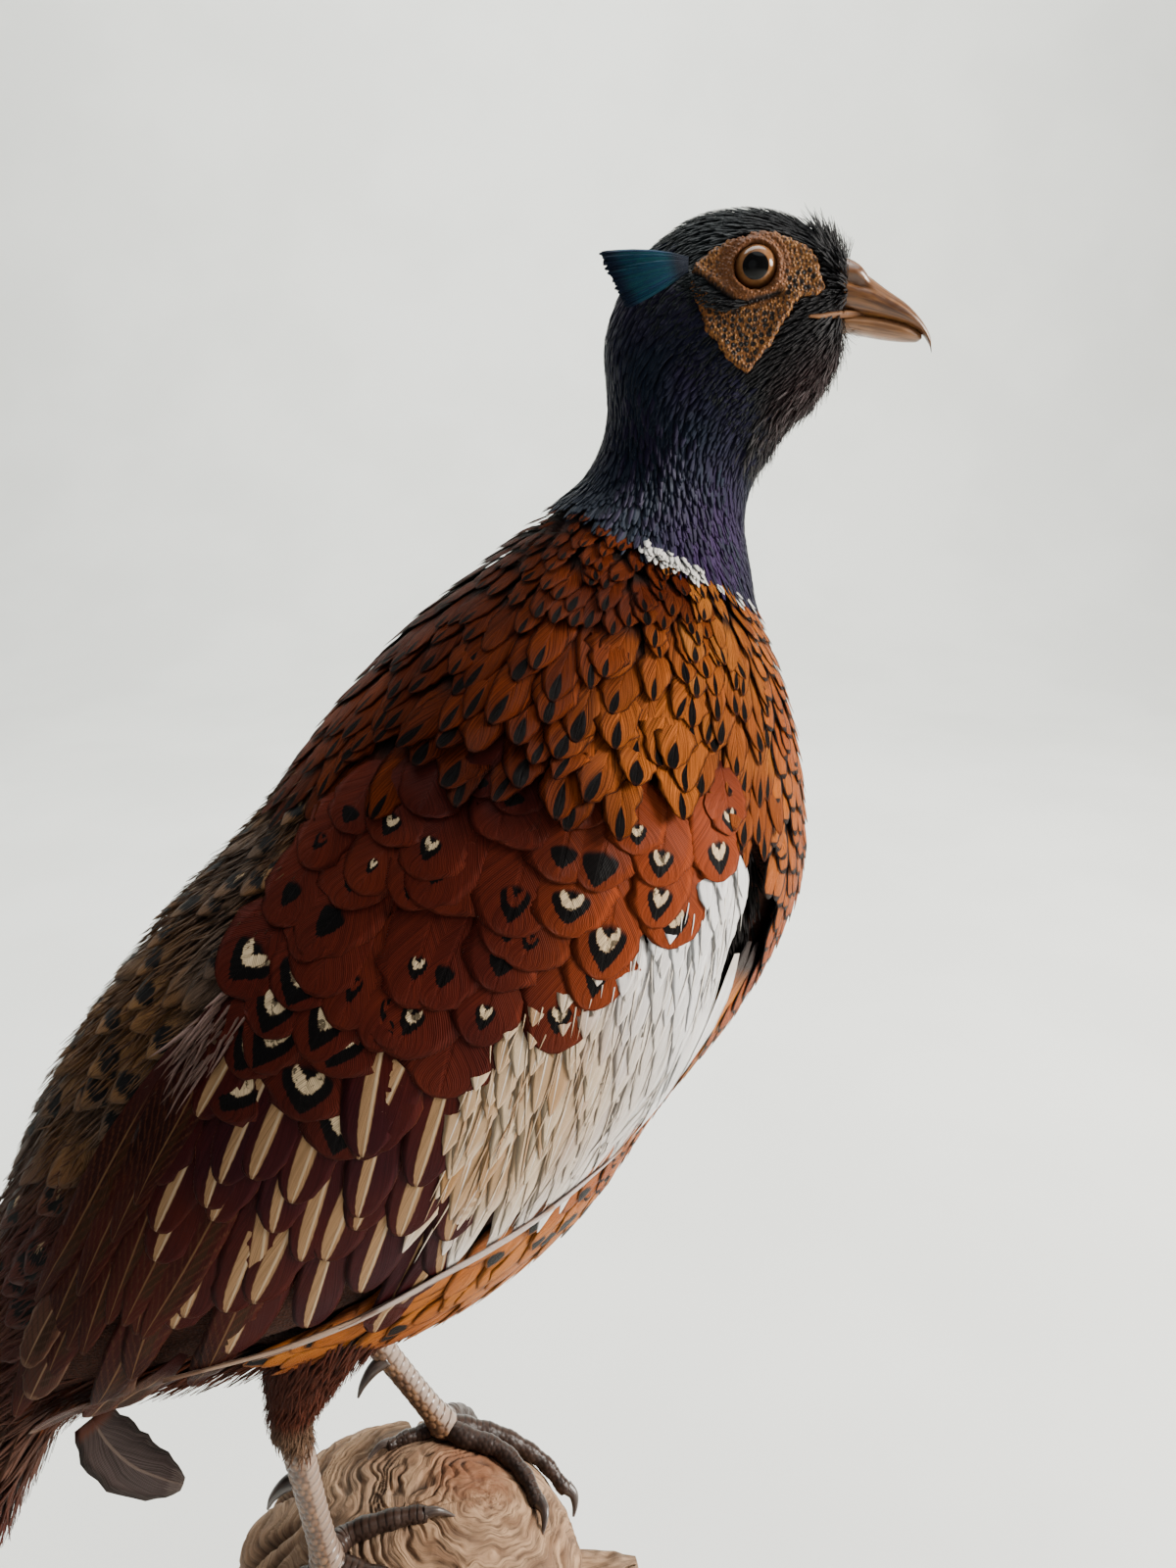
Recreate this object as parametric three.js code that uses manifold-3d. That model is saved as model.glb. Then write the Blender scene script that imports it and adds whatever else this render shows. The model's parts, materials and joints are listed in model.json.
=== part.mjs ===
// A cock pheasant as a still museum mount, standing on a driftwood stump. Sizes in mm.
// The origin is the centre of the stump's foot; +X is forward, +Y the bird's left, +Z up.
import * as THREE from "three";
import { mergeVertices } from "three/addons/utils/BufferGeometryUtils.js";
import Module from "manifold-3d";

// ---- driving sizes ----
const perchHeight = 300; // knob of the stump, where the bird's own heights start
const gap = 0.3; // between touching parts
const neckAxisX = 82; // upright line the head is turned about
const headTurn = -28; // degrees, towards the bird's right
const bodySides = 26;
const headSides = 20;
const eyeRadius = 5.6;
const wingThickness = 7.5;
const wingRim = 1.6;
const tailLength = 430;
const tailRoot = [-120, 92];
const tailSlopeStart = 64; // degrees below level at the root
const tailSlopeEnd = 49; // degrees below level at the tip
const tailLayer = 2.2; // from one tail feather to the one under it
const footRadius = 5.0; // middle of a toe at its root
const shankRadius = 4.4;
const toeTipRadius = 3.3;
const hindRootRadius = 3.5;
const hindTipRadius = 2.5;
const frontClaw = 10; // length of a front claw
const hindClaw = 8;
const stumpSides = 26;

// Stations of head, neck and body from the bill backwards: the point on the upper outline,
// the point on the lower outline (x, height over the perch), half the width, share of the turn.
const stations = [
  { name: "billBase", upper: [129.5, 384], lower: [130.5, 370.5], half: 7, turn: 1 },
  { name: "lore", upper: [126.5, 390], lower: [130, 362.5], half: 10.5, turn: 1 },
  { name: "brow", upper: [118.5, 395], lower: [127.5, 355.5], half: 14, turn: 1 },
  { name: "crown", upper: [104.5, 398.5], lower: [122.5, 348], half: 16.5, turn: 1 },
  { name: "occiput", upper: [88, 396], lower: [116.5, 342.5], half: 18, turn: 1 },
  { name: "napeTop", upper: [73.5, 384.5], lower: [111.5, 335], half: 19, turn: 0.93 },
  { name: "nape", upper: [65.5, 366.5], lower: [107.5, 327.5], half: 19.5, turn: 0.8 },
  { name: "neckMiddle", upper: [66, 345], lower: [106, 317], half: 20, turn: 0.55 },
  { name: "neckFoot", upper: [60.5, 331.5], lower: [108.5, 303.5], half: 23, turn: 0.27 },
  { name: "collar", upper: [49.5, 322.5], lower: [111, 291], half: 30, turn: 0.08 },
  { name: "shoulder", upper: [33, 309.5], lower: [117.5, 270], half: 46, turn: 0 },
  { name: "breastTop", upper: [9, 291], lower: [123.5, 243], half: 58, turn: 0 },
  { name: "breast", upper: [-14.5, 267.5], lower: [124, 210], half: 65, turn: 0 },
  { name: "midBack", upper: [-36.5, 240.5], lower: [107.5, 177], half: 67, turn: 0 },
  { name: "belly", upper: [-61, 217.5], lower: [82, 147], half: 66, turn: 0 },
  { name: "rearBelly", upper: [-82.5, 193], lower: [53, 106], half: 60, turn: 0 },
  { name: "flank", upper: [-97, 173.5], lower: [6.5, 78.5], half: 52, turn: 0 },
  { name: "vent", upper: [-108, 150.5], lower: [-55, 74.5], half: 42, turn: 0 },
  { name: "tailRoot", upper: [-120.5, 123], lower: [-95, 75], half: 32, turn: 0 },
  { name: "coverts", upper: [-135, 89], lower: [-111.5, 55], half: 28, turn: 0 },
  { name: "covertsEnd", upper: [-150, 54], lower: [-129, 24], half: 25.5, turn: 0 },
  { name: "covertsTip", upper: [-162.5, 27], lower: [-147, 4], half: 20, turn: 0 },
];
const stationAt = (name) => stations.findIndex((s) => s.name === name);

// Folded wing seen from the side, from the wrist to the tip: lower and upper edge
// (x, height over the perch) and the share of the wing's thickness.
const wingStations = [
  { lower: [73, 190], upper: [85, 232], thick: 0.45 },
  { lower: [62, 162], upper: [66, 258], thick: 0.9 },
  { lower: [38, 146], upper: [30, 268], thick: 1 },
  { lower: [12, 133], upper: [0, 254], thick: 1 },
  { lower: [-18, 119], upper: [-26, 234], thick: 1 },
  { lower: [-50, 108], upper: [-50, 200], thick: 0.95 },
  { lower: [-80, 102], upper: [-76, 168], thick: 0.85 },
  { lower: [-103, 93], upper: [-100, 138], thick: 0.7 },
  { lower: [-120, 84], upper: [-121, 106], thick: 0.5 },
];

const degrees = Math.PI / 180;
const wasm = await Module();
wasm.setup();

// ---- curves ----

// A row of numbers at position t along a list of rows, by a spline through all of them.
function spline(rows, t) {
  const last = rows.length - 1;
  const clamped = Math.min(Math.max(t, 0), last);
  const i = Math.min(Math.floor(clamped), last - 1);
  const f = clamped - i;
  const mirror = (a, b) => a.map((value, k) => 2 * value - b[k]);
  const b = rows[i];
  const c = rows[i + 1];
  const a = i > 0 ? rows[i - 1] : mirror(b, c);
  const d = i + 2 <= last ? rows[i + 2] : mirror(c, b);
  return b.map((value, k) => {
    const linear = c[k] - a[k];
    const square = 2 * a[k] - 5 * value + 4 * c[k] - d[k];
    const cube = 3 * value - a[k] - 3 * c[k] + d[k];
    return 0.5 * (2 * value + linear * f + square * f * f + cube * f * f * f);
  });
}

const stationRows = stations.map((s) => [...s.upper, ...s.lower, s.half, s.turn]);
const wingRows = wingStations.map((s) => [...s.lower, ...s.upper, s.thick]);

// Turns a point given in the straight-ahead head's place about the neck's upright line.
function turned(x, y, z, share) {
  const angle = headTurn * share * degrees;
  const dx = x - neckAxisX;
  return new THREE.Vector3(
    neckAxisX + dx * Math.cos(angle) - y * Math.sin(angle),
    dx * Math.sin(angle) + y * Math.cos(angle),
    z,
  );
}

// A point of the body: t counts stations, angle 0 is the upper outline and pi the lower.
function bodyPoint(t, angle, grow = 0) {
  const [ux, uz, lx, lz, half, turn] = spline(stationRows, t);
  const length = Math.hypot(ux - lx, uz - lz);
  const share = 0.5 + 0.5 * Math.cos(angle) * (1 + (2 * grow) / length);
  const x = lx + (ux - lx) * share;
  const z = lz + (uz - lz) * share + perchHeight;
  const y = (half + grow) * Math.sin(angle);
  return turned(x, y, z, turn);
}

// Half the body's width where a sideways line at (x, z) leaves it; 0 off the body.
function bodyHalfAt(x, height) {
  let low = stationAt("neckFoot");
  let high = stations.length - 1;
  const side = (t) => {
    const [ux, uz, lx, lz] = spline(stationRows, t);
    return (ux - lx) * (height - lz) - (uz - lz) * (x - lx);
  };
  if (side(low) > 0 !== side(high) > 0) {
    const start = side(low) > 0;
    for (let k = 0; k < 30; k++) {
      const middle = 0.5 * (low + high);
      if (side(middle) > 0 === start) low = middle;
      else high = middle;
    }
  }
  const [ux, uz, lx, lz, half] = spline(stationRows, 0.5 * (low + high));
  const dx = ux - lx;
  const dz = uz - lz;
  const share = ((x - lx) * dx + (height - lz) * dz) / (dx * dx + dz * dz);
  const across = 2 * share - 1;
  return half * Math.sqrt(Math.max(0, 1 - across * across));
}

// ---- solids ----

// A closed solid from rings of equal length, with a flat or pointed cap at each end.
function ringSolid(rings) {
  const sides = rings[0].length;
  const points = rings.flat();
  const faces = [];
  for (let i = 0; i + 1 < rings.length; i++)
    for (let j = 0; j < sides; j++) {
      const k = (j + 1) % sides;
      const a = i * sides + j;
      const b = i * sides + k;
      faces.push(a, b, a + sides, b, b + sides, a + sides);
    }
  const cap = (start, flip) => {
    const centre = new THREE.Vector3();
    for (let j = 0; j < sides; j++) centre.addScaledVector(points[start + j], 1 / sides);
    const middle = points.push(centre) - 1;
    for (let j = 0; j < sides; j++) {
      const k = (j + 1) % sides;
      if (flip) faces.push(middle, start + k, start + j);
      else faces.push(middle, start + j, start + k);
    }
  };
  cap(0, true);
  cap((rings.length - 1) * sides, false);
  let volume = 0;
  const cross = new THREE.Vector3();
  for (let f = 0; f < faces.length; f += 3) {
    cross.crossVectors(points[faces[f + 1]], points[faces[f + 2]]);
    volume += points[faces[f]].dot(cross);
  }
  if (volume < 0)
    for (let f = 0; f < faces.length; f += 3)
      [faces[f + 1], faces[f + 2]] = [faces[f + 2], faces[f + 1]];
  return new wasm.Manifold(
    new wasm.Mesh({
      numProp: 3,
      vertProperties: new Float32Array(points.flatMap((p) => [p.x, p.y, p.z])),
      triVerts: new Uint32Array(faces),
    }),
  );
}

// Station positions of the rings of a stretch of the body.
function ringPlaces(from, to, rings) {
  return Array.from({ length: rings + 1 }, (_, i) => from + ((to - from) * i) / rings);
}

// The solid of a closed three.js geometry.
function solidOf(geometry) {
  geometry.deleteAttribute("normal");
  geometry.deleteAttribute("uv");
  const merged = mergeVertices(geometry, 1e-4);
  return new wasm.Manifold(
    new wasm.Mesh({
      numProp: 3,
      vertProperties: merged.attributes.position.array,
      triVerts: new Uint32Array(merged.index.array),
    }),
  );
}

// A stretch of the body with a ring at each of the given station positions.
function bodySolid(places, sides, grow = 0) {
  const ringAt = (t) =>
    Array.from({ length: sides }, (_, j) => bodyPoint(t, (2 * Math.PI * j) / sides, grow));
  return ringSolid(places.map(ringAt));
}

// A round or oval rod along rows of x, y, z, width radius, thickness radius.
function rodSolid(rows, rings, sides, across = new THREE.Vector3(0, 1, 0), grow = 0) {
  const list = [];
  const last = rows.length - 1;
  const at = (t) => new THREE.Vector3(...spline(rows, t).slice(0, 3));
  for (let i = 0; i <= rings; i++) {
    const t = (last * i) / rings;
    const middle = at(t);
    const along = at(t + 0.02).sub(at(t - 0.02)).normalize();
    const normal = new THREE.Vector3().crossVectors(along, across).normalize();
    const side = new THREE.Vector3().crossVectors(normal, along).normalize();
    const row = spline(rows, t);
    const wide = Math.max(row[3], 0.25) + grow;
    const thick = Math.max(row[4] ?? row[3], 0.25) + grow;
    const ring = [];
    for (let j = 0; j < sides; j++) {
      const angle = (2 * Math.PI * (j + 0.5)) / sides;
      ring.push(
        middle
          .clone()
          .addScaledVector(side, wide * Math.cos(angle))
          .addScaledVector(normal, thick * Math.sin(angle)),
      );
    }
    list.push(ring);
  }
  return ringSolid(list);
}

// ---- stump ----
const knobMiddle = 248.7;
const knobCentre = new THREE.Vector3(-7, -3, knobMiddle);
const knobRadii = new THREE.Vector3(61.8, 62.1, 46.7);
const onWood = 0.2; // a toe's clearance over the wood

// Stump stations: height, centre x and y, half length in x, half width in y, lobe size.
const stumpRows = [
  [0, 0, 0, 112, 88, 9],
  [8, 0, 0, 110, 87, 9],
  [34, 1, -1, 90, 74, 9],
  [80, 3, -3, 70, 63, 8],
  [135, 3, -6, 59, 57, 6],
  [190, -3, -6, 58, 58, 5],
  [232, -6, -4, 62, 62, 4],
  [256, -7, -3, 61.5, 62, 3],
  [273, -7, -3, 54.5, 55, 2],
  [286, -7, -3, 39.5, 40, 1.2],
  [293, -7, -3, 23, 24, 0.6],
  [295.4, -7, -3, 5, 5, 0],
];

// A point of the stump: lobes run round it and swing a little with the height.
function stumpPoint(t, angle, grow = 0) {
  const [height, cx, cy, rx, ry, lobe] = spline(stumpRows, t);
  const swing = height / 170;
  const wave =
    Math.sin(3 * angle + 0.6 + swing) +
    0.6 * Math.sin(5 * angle - 1.2 * swing) +
    0.35 * Math.sin(8 * angle + 2.1);
  const shrink = (lobe * (wave - 1.2)) / 2;
  return new THREE.Vector3(
    cx + (rx + shrink + grow) * Math.cos(angle),
    cy + (ry + shrink + grow) * Math.sin(angle),
    height + (height > knobMiddle ? grow : 0),
  );
}

// A rounded rib that stands beside the knob and runs down the stump's back.
const lobeRows = [
  [-40, 27, 278, 5, 5],
  [-45, 24, 270, 11, 9],
  [-50, 18, 250, 16, 12],
  [-53, 10, 215, 17, 12],
  [-52, 4, 175, 14, 9],
  [-46, 0, 140, 8, 5],
];
function stumpSolid(grow = 0) {
  const ringAt = (t) =>
    Array.from({ length: stumpSides }, (_, j) =>
      stumpPoint(t, (2 * Math.PI * j) / stumpSides, grow),
    );
  const column = ringSolid(ringPlaces(0, stumpRows.length - 1, 16).map(ringAt));
  return column.add(rodSolid(lobeRows, 6, 10, new THREE.Vector3(0, 1, 0), grow));
}

// Moves a point out from the knob's middle until a ball of that radius clears the wood.
function onKnob(x, y, height, radius) {
  const wanted = new THREE.Vector3(x, y, height + perchHeight);
  const away = wanted.clone().sub(knobCentre).normalize();
  const scaled = away.clone().divide(knobRadii);
  const surface = 1 / scaled.length();
  const lean = scaled.divide(knobRadii).normalize().dot(away);
  return knobCentre.clone().addScaledVector(away, surface + (radius + onWood) / lean);
}

const stumpGrown = stumpSolid(gap);

// ---- the parts ----
const group = new THREE.Group();

// Adds a part; of a shape that a cut left in pieces, only the largest stays.
function add(name, shape, colour, roughness, metalness = 0) {
  const pieces = shape.decompose().sort((a, b) => b.volume() - a.volume());
  const mesh = pieces[0].getMesh();
  const geometry = new THREE.BufferGeometry();
  const positions = new THREE.BufferAttribute(new Float32Array(mesh.vertProperties), 3);
  geometry.setAttribute("position", positions);
  geometry.setIndex(new THREE.BufferAttribute(new Uint32Array(mesh.triVerts), 1));
  geometry.computeVertexNormals();
  const material = new THREE.MeshStandardMaterial({ color: colour, roughness, metalness });
  const part = new THREE.Mesh(geometry, material);
  part.name = name;
  group.add(part);
  return part;
}

const colours = {
  plumage: 0x9c4a1c,
  maroon: 0x5e2418,
  pale: 0xcfc6b4,
  neck: 0x181a38,
  head: 0x3a2c1c,
  bill: 0x8f6a42,
  eye: 0x14100c,
  tuft: 0x144a62,
  leg: 0x8b7a68,
  claw: 0x3d3431,
  tail: 0x8a6a45,
  wood: 0xa78662,
};

// Head, neck and trunk, parted by narrow slits.
const slit = 0.012;
const headEnd = stationAt("napeTop");
const neckEnd = stationAt("collar");
const trunkEnd = stationAt("tailRoot");
const trunkPlaces = ringPlaces(neckEnd + slit, trunkEnd - slit, 15);
const headPlaces = ringPlaces(0, headEnd - slit, 9);
const covertPlaces = ringPlaces(trunkEnd + slit, stations.length - 1, 5);
const trunk = bodySolid(trunkPlaces, bodySides);
const coverts = bodySolid(covertPlaces, bodySides);
const neck = bodySolid(ringPlaces(headEnd + slit, neckEnd - slit, 5), headSides);
const headBlank = bodySolid(headPlaces, headSides);
const headGrown = bodySolid(headPlaces, headSides, gap);
const allPlaces = [neckEnd - 0.5, ...trunkPlaces, ...covertPlaces];
const bodyGrown = bodySolid(allPlaces, bodySides, gap);

// Eyes sit just proud of the face on each side.
const eyePlace = { x: 105.8, height: 382.4, side: 12.2 };
function eyeSolid(side, grow) {
  const ball = new THREE.SphereGeometry(eyeRadius + grow, 12, 6);
  ball.rotateX(Math.PI / 2);
  ball.translate(...turned(eyePlace.x, side * eyePlace.side, eyePlace.height + perchHeight, 1));
  return solidOf(ball);
}
const head = headBlank.subtract(eyeSolid(-1, gap)).subtract(eyeSolid(1, gap));
add("head", head, colours.head, 0.8);
add("neck", neck, colours.neck, 0.7);
add("trunk", trunk, colours.plumage, 0.8);
add("eye_right", eyeSolid(-1, 0), colours.eye, 0.1);
add("eye_left", eyeSolid(1, 0), colours.eye, 0.1);

// Bill halves from rows of x, upper height, lower height, half width, before the turn.
const billUpperRows = [
  [124, 384.0, 371.6, 7.4],
  [128, 384.2, 371.4, 7.0],
  [133.5, 382.0, 371.0, 6.2],
  [139.5, 378.0, 370.3, 5.1],
  [145, 374.4, 369.2, 4.0],
  [149, 370.6, 367.4, 2.7],
  [151.6, 366.8, 364.4, 1.5],
  [152.4, 363.4, 362.3, 0.6],
];
const billLowerRows = [
  [124, 370.6, 366.0, 6.2],
  [129, 370.6, 367.6, 6.0],
  [134, 370.2, 366.8, 5.2],
  [140, 369.5, 365.8, 4.0],
  [145, 368.3, 365.2, 2.8],
  [148.4, 366.7, 365.0, 1.4],
];
function billSolid(rows, rings) {
  const list = [];
  for (let i = 0; i <= rings; i++) {
    const [x, top, bottom, half] = spline(rows, ((rows.length - 1) * i) / rings);
    const ring = [];
    for (let j = 0; j < 12; j++) {
      const angle = (2 * Math.PI * j) / 12;
      const lift = 0.5 * (top - bottom) * Math.cos(angle);
      const z = 0.5 * (top + bottom) + lift + perchHeight;
      ring.push(turned(x, half * Math.sin(angle), z, 1));
    }
    list.push(ring);
  }
  return ringSolid(list);
}
add("bill_upper", billSolid(billUpperRows, 9).subtract(headGrown), colours.bill, 0.4);
add("bill_lower", billSolid(billLowerRows, 6).subtract(headGrown), colours.bill, 0.4);

// Ear tufts: square-ended blades lying back from behind the eye.
for (const [name, side] of [["ear_tuft_right", -1], ["ear_tuft_left", 1]]) {
  const list = [];
  const rows = [
    [93, 383.2, 15.2, 1.2, 1.2],
    [85, 382.3, 18.4, 3.0, 1.1],
    [77, 380.8, 19.8, 4.8, 0.9],
    [70.4, 379.6, 19.4, 6.2, 0.5],
  ];
  for (let i = 0; i <= 4; i++) {
    const [x, height, out, tall, thick] = spline(rows, (i * 3) / 4);
    const ring = [];
    for (let j = 0; j < 8; j++) {
      const angle = (2 * Math.PI * (j + 0.5)) / 8;
      const z = height + tall * Math.cos(angle) + perchHeight;
      const back = x - 2 * Math.cos(angle) * (i / 4);
      ring.push(turned(back, side * (out + thick * Math.sin(angle)), z, 1));
    }
    list.push(ring);
  }
  add(name, ringSolid(list).subtract(headGrown), colours.tuft, 0.5);
}

// Wings: shells that lie on the trunk, parted into coverts, secondaries and primaries.
function wingSolid(side, from, to, rings, grow = 0) {
  const list = [];
  const across = 6;
  for (let i = 0; i <= rings; i++) {
    const [lx, lz, ux, uz, thick] = spline(wingRows, from + ((to - from) * i) / rings);
    const outer = [];
    const inner = [];
    for (let j = 0; j <= across; j++) {
      const b = j / across;
      const x = lx + (ux - lx) * b;
      const height = lz + (uz - lz) * b;
      const dome = Math.sqrt(Math.max(0, 1 - (2 * b - 1) ** 2));
      const lift = wingRim + (wingThickness - wingRim) * dome * thick;
      const base = bodyHalfAt(x, height);
      outer.push(new THREE.Vector3(x, side * (base + lift + grow), height + perchHeight));
      inner.push(new THREE.Vector3(x, side * (base * 0.9 - 3), height + perchHeight));
    }
    list.push([...outer, ...inner.reverse()]);
  }
  return ringSolid(list);
}
const wingParts = [
  { name: "coverts", from: 0, to: 3.29, rings: 6, colour: colours.pale },
  { name: "secondaries", from: 3.31, to: 5.69, rings: 4, colour: colours.maroon },
  { name: "primaries", from: 5.71, to: 8, rings: 4, colour: colours.maroon },
];
for (const [word, side] of [["right", -1], ["left", 1]])
  for (const piece of wingParts) {
    const shape = wingSolid(side, piece.from, piece.to, piece.rings);
    const cut = shape.subtract(bodyGrown);
    add(`wing_${piece.name}_${word}`, cut, piece.colour, 0.8);
  }

// Tail coverts, then the tail feathers that leave from under them.
add("tail_coverts", coverts, colours.maroon, 0.8);
function tailRows(feather, side) {
  const rows = [];
  const steps = 8;
  let x = tailRoot[0];
  let z = tailRoot[1] + perchHeight;
  const step = tailLength / 40;
  const path = [[x, z, tailSlopeStart]];
  for (let i = 1; i <= 40; i++) {
    const slope = tailSlopeStart + ((tailSlopeEnd - tailSlopeStart) * i) / 40;
    x -= step * Math.cos(slope * degrees);
    z -= step * Math.sin(slope * degrees);
    path.push([x, z, slope]);
  }
  for (let i = 0; i <= steps; i++) {
    const s = (i / steps) * feather.reach;
    const [px, pz, slope] = spline(path, s * 40);
    const drop = feather.under + (side > 0 ? tailLayer : 0);
    const y = side * (feather.out + s * tailLength * Math.tan(feather.spread * degrees));
    const taper = Math.sqrt(Math.max(0, 1 - (i / steps) ** 3));
    rows.push([
      px + drop * Math.sin(slope * degrees),
      y,
      pz - drop * Math.cos(slope * degrees),
      feather.half * (0.12 + 0.88 * taper),
      feather.thick,
    ]);
  }
  return rows;
}
const tailFeathers = [
  { name: "central", reach: 1, out: 0, spread: 0, half: 15, under: -2.6, thick: 1.0, sides: [0] },
  { name: "inner", reach: 0.78, out: 8, spread: 1.2, half: 12, under: 0, thick: 0.8, sides: [-1, 1] },
  { name: "middle", reach: 0.58, out: 13, spread: 2.4, half: 11, under: 4.4, thick: 0.8, sides: [-1, 1] },
  { name: "outer", reach: 0.4, out: 18, spread: 3.6, half: 10.5, under: 8.8, thick: 0.8, sides: [-1, 1] },
];
for (const feather of tailFeathers)
  for (const side of feather.sides) {
    const word = side === 0 ? "" : side < 0 ? "_right" : "_left";
    const rows = tailRows(feather, side);
    const tilt = new THREE.Vector3(0, 1, 0);
    add(`tail_${feather.name}${word}`, rodSolid(rows, 6, 8, tilt).subtract(bodyGrown), colours.tail, 0.8);
  }

// Legs: feathered thigh, bare shank, spur, and four toes with claws on the knob.
const legs = [
  { word: "right", side: -1, ankle: [-43, -26, 63.5], foot: [-36, -20, -1], hip: [-24, -30, 112] },
  { word: "left", side: 1, ankle: [-19, 24, 56], foot: [11.5, 22, -4], hip: [-14, 28, 108] },
];
const toePaths = {
  right: {
    inner: [[-30, -12, -3], [-18, -12, -2], [-7, -13, -2], [-2, -14, -2]],
    middle: [[-28, -26, -3], [-10, -35, -8], [5, -44, -16], [13, -50, -24]],
    outer: [[-36, -28, -4], [-33, -42, -12], [-29, -53, -24], [-25, -59, -34]],
    hind: [[-43, -17, -6], [-50, -13, -14], [-54, -11, -21]],
  },
  left: {
    inner: [[18, 17, -5], [28, 9, -12], [34, -2, -15], [35.5, -12, -17]],
    middle: [[24, 23, -6], [38, 20, -12], [49, 13, -24], [54, 5, -34]],
    outer: [[14, 30, -8], [20, 38, -18], [26, 45, -32], [28, 48, -42]],
    hind: [[5, 23, -6], [-2, 21, -8], [-9, 19, -9]],
  },
};
for (const leg of legs) {
  const up = perchHeight;
  const [ax, ay, az] = leg.ankle;
  const [fx, fy, fz] = leg.foot;
  const [hx, hy, hz] = leg.hip;
  const thighRows = [
    [hx, hy, hz + up, 20, 22],
    [0.45 * hx + 0.55 * ax, 0.45 * hy + 0.55 * ay, 0.5 * (hz + az) + 4 + up, 14, 16],
    [0.15 * hx + 0.85 * ax, 0.15 * hy + 0.85 * ay, az + 11 + up, 8.5, 10],
    [ax, ay, az + up, 6.2, 6.6],
  ];
  const sideways = new THREE.Vector3(0, 1, 0);
  const thigh = rodSolid(thighRows, 5, 14).subtract(bodyGrown);
  const thighGrown = rodSolid(thighRows, 5, 14, sideways, gap);
  add(`thigh_${leg.word}`, thigh, colours.maroon, 0.9);

  const shareX = (k) => ax + (fx - ax) * k;
  const shareY = (k) => ay + (fy - ay) * k;
  const shareZ = (k) => az + (fz - az) * k + up;
  const shankRows = [
    [shareX(-0.03), shareY(-0.03), shareZ(-0.03), shankRadius, shankRadius + 0.6],
    [shareX(0.2), shareY(0.2), shareZ(0.2), shankRadius - 0.2, shankRadius + 0.2],
    [shareX(0.6), shareY(0.6), shareZ(0.6), shankRadius - 0.5, shankRadius - 0.2],
    [shareX(0.88), shareY(0.88), shareZ(0.88), shankRadius + 0.2, shankRadius],
    [fx, fy, fz + up, footRadius + 0.8, footRadius + 0.4],
    [fx + 0.6, fy, fz - 3.5 + up, footRadius - 0.6, footRadius - 0.8],
  ];
  const shank = rodSolid(shankRows, 6, 9).subtract(thighGrown);
  const shankGrown = rodSolid(shankRows, 6, 9, sideways, gap);
  add(`shank_${leg.word}`, shank, colours.leg, 0.5);

  // The spur points back and down from the inner side of the shank.
  const spurAt = [shareX(0.42), shareY(0.42) - leg.side * 1.5, shareZ(0.42)];
  const spurRows = [
    [spurAt[0] - 1, spurAt[1], spurAt[2] + 1, 3, 3],
    [spurAt[0] - 6, spurAt[1] - leg.side * 1, spurAt[2] - 1.5, 2.3, 2.3],
    [spurAt[0] - 10, spurAt[1] - leg.side * 2, spurAt[2] - 6, 1.3, 1.3],
    [spurAt[0] - 12, spurAt[1] - leg.side * 2.4, spurAt[2] - 10.5, 0.4, 0.4],
  ];
  add(`spur_${leg.word}`, rodSolid(spurRows, 4, 6).subtract(shankGrown), colours.claw, 0.5);

  // Toes are cut back by the shank and by the toes made before them.
  let taken = shankGrown;
  for (const [toe, path] of Object.entries(toePaths[leg.word])) {
    const hind = toe === "hind";
    const root = hind ? hindRootRadius : footRadius - 0.5;
    const tip = hind ? hindTipRadius : toeTipRadius;
    const count = path.length;
    const rows = [[fx, fy, fz - 0.6 + up, root, root]];
    path.forEach(([x, y, z], k) => {
      const radius = root + ((tip - root) * (k + 1)) / count;
      const p = onKnob(x, y, z, radius);
      rows.push([p.x, p.y, p.z, radius, radius]);
    });
    const clawRoot = rows.pop();
    const toeRows = [...rows, clawRoot];
    const outward = new THREE.Vector3(clawRoot[0], clawRoot[1], clawRoot[2]).sub(knobCentre);
    outward.normalize();
    const before = rows[rows.length - 1];
    const along = new THREE.Vector3(
      clawRoot[0] - before[0],
      clawRoot[1] - before[1],
      clawRoot[2] - before[2],
    ).normalize();
    const side = new THREE.Vector3().crossVectors(along, outward).normalize();
    const rings = hind ? 3 : 5;
    const toeSolid = rodSolid(toeRows, rings, 7, side).subtract(taken).subtract(stumpGrown);
    const toeGrown = rodSolid(toeRows, rings, 7, side, gap);
    add(`toe_${toe}_${leg.word}`, toeSolid, colours.leg, 0.6);
    taken = taken.add(toeGrown);

    // The claw goes on along the toe and bends down to the wood.
    const reach = hind ? hindClaw : frontClaw;
    const base = new THREE.Vector3(clawRoot[0], clawRoot[1], clawRoot[2]);
    const clawRows = [];
    for (let k = 0; k <= 3; k++) {
      const p = base.clone().addScaledVector(along, -1 + ((reach + 1) * k) / 3);
      const radius = (tip - 0.7) * (1 - k / 3) + 0.45 * (k / 3);
      const rest = onKnob(p.x, p.y, p.z - perchHeight, radius);
      const r = p.lerp(rest, k / 3);
      clawRows.push([r.x, r.y, r.z, radius * 0.8, radius]);
    }
    const claw = rodSolid(clawRows, 3, 6, side).subtract(toeGrown).subtract(stumpGrown);
    add(`claw_${toe}_${leg.word}`, claw, colours.claw, 0.4);
  }
}

// A loose feather that hangs from the vent.
const looseRows = [
  [-97, -13, 371, 5.5, 0.8],
  [-94, -14, 362, 8.5, 0.8],
  [-88, -16, 353, 8.5, 0.8],
  [-80, -17, 346, 6, 0.7],
  [-75, -18, 343, 2, 0.6],
];
const looseAcross = new THREE.Vector3(0.75, 0.5, 0.45);
add("loose_feather", rodSolid(looseRows, 5, 8, looseAcross).subtract(bodyGrown), colours.tail, 0.8);

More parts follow.
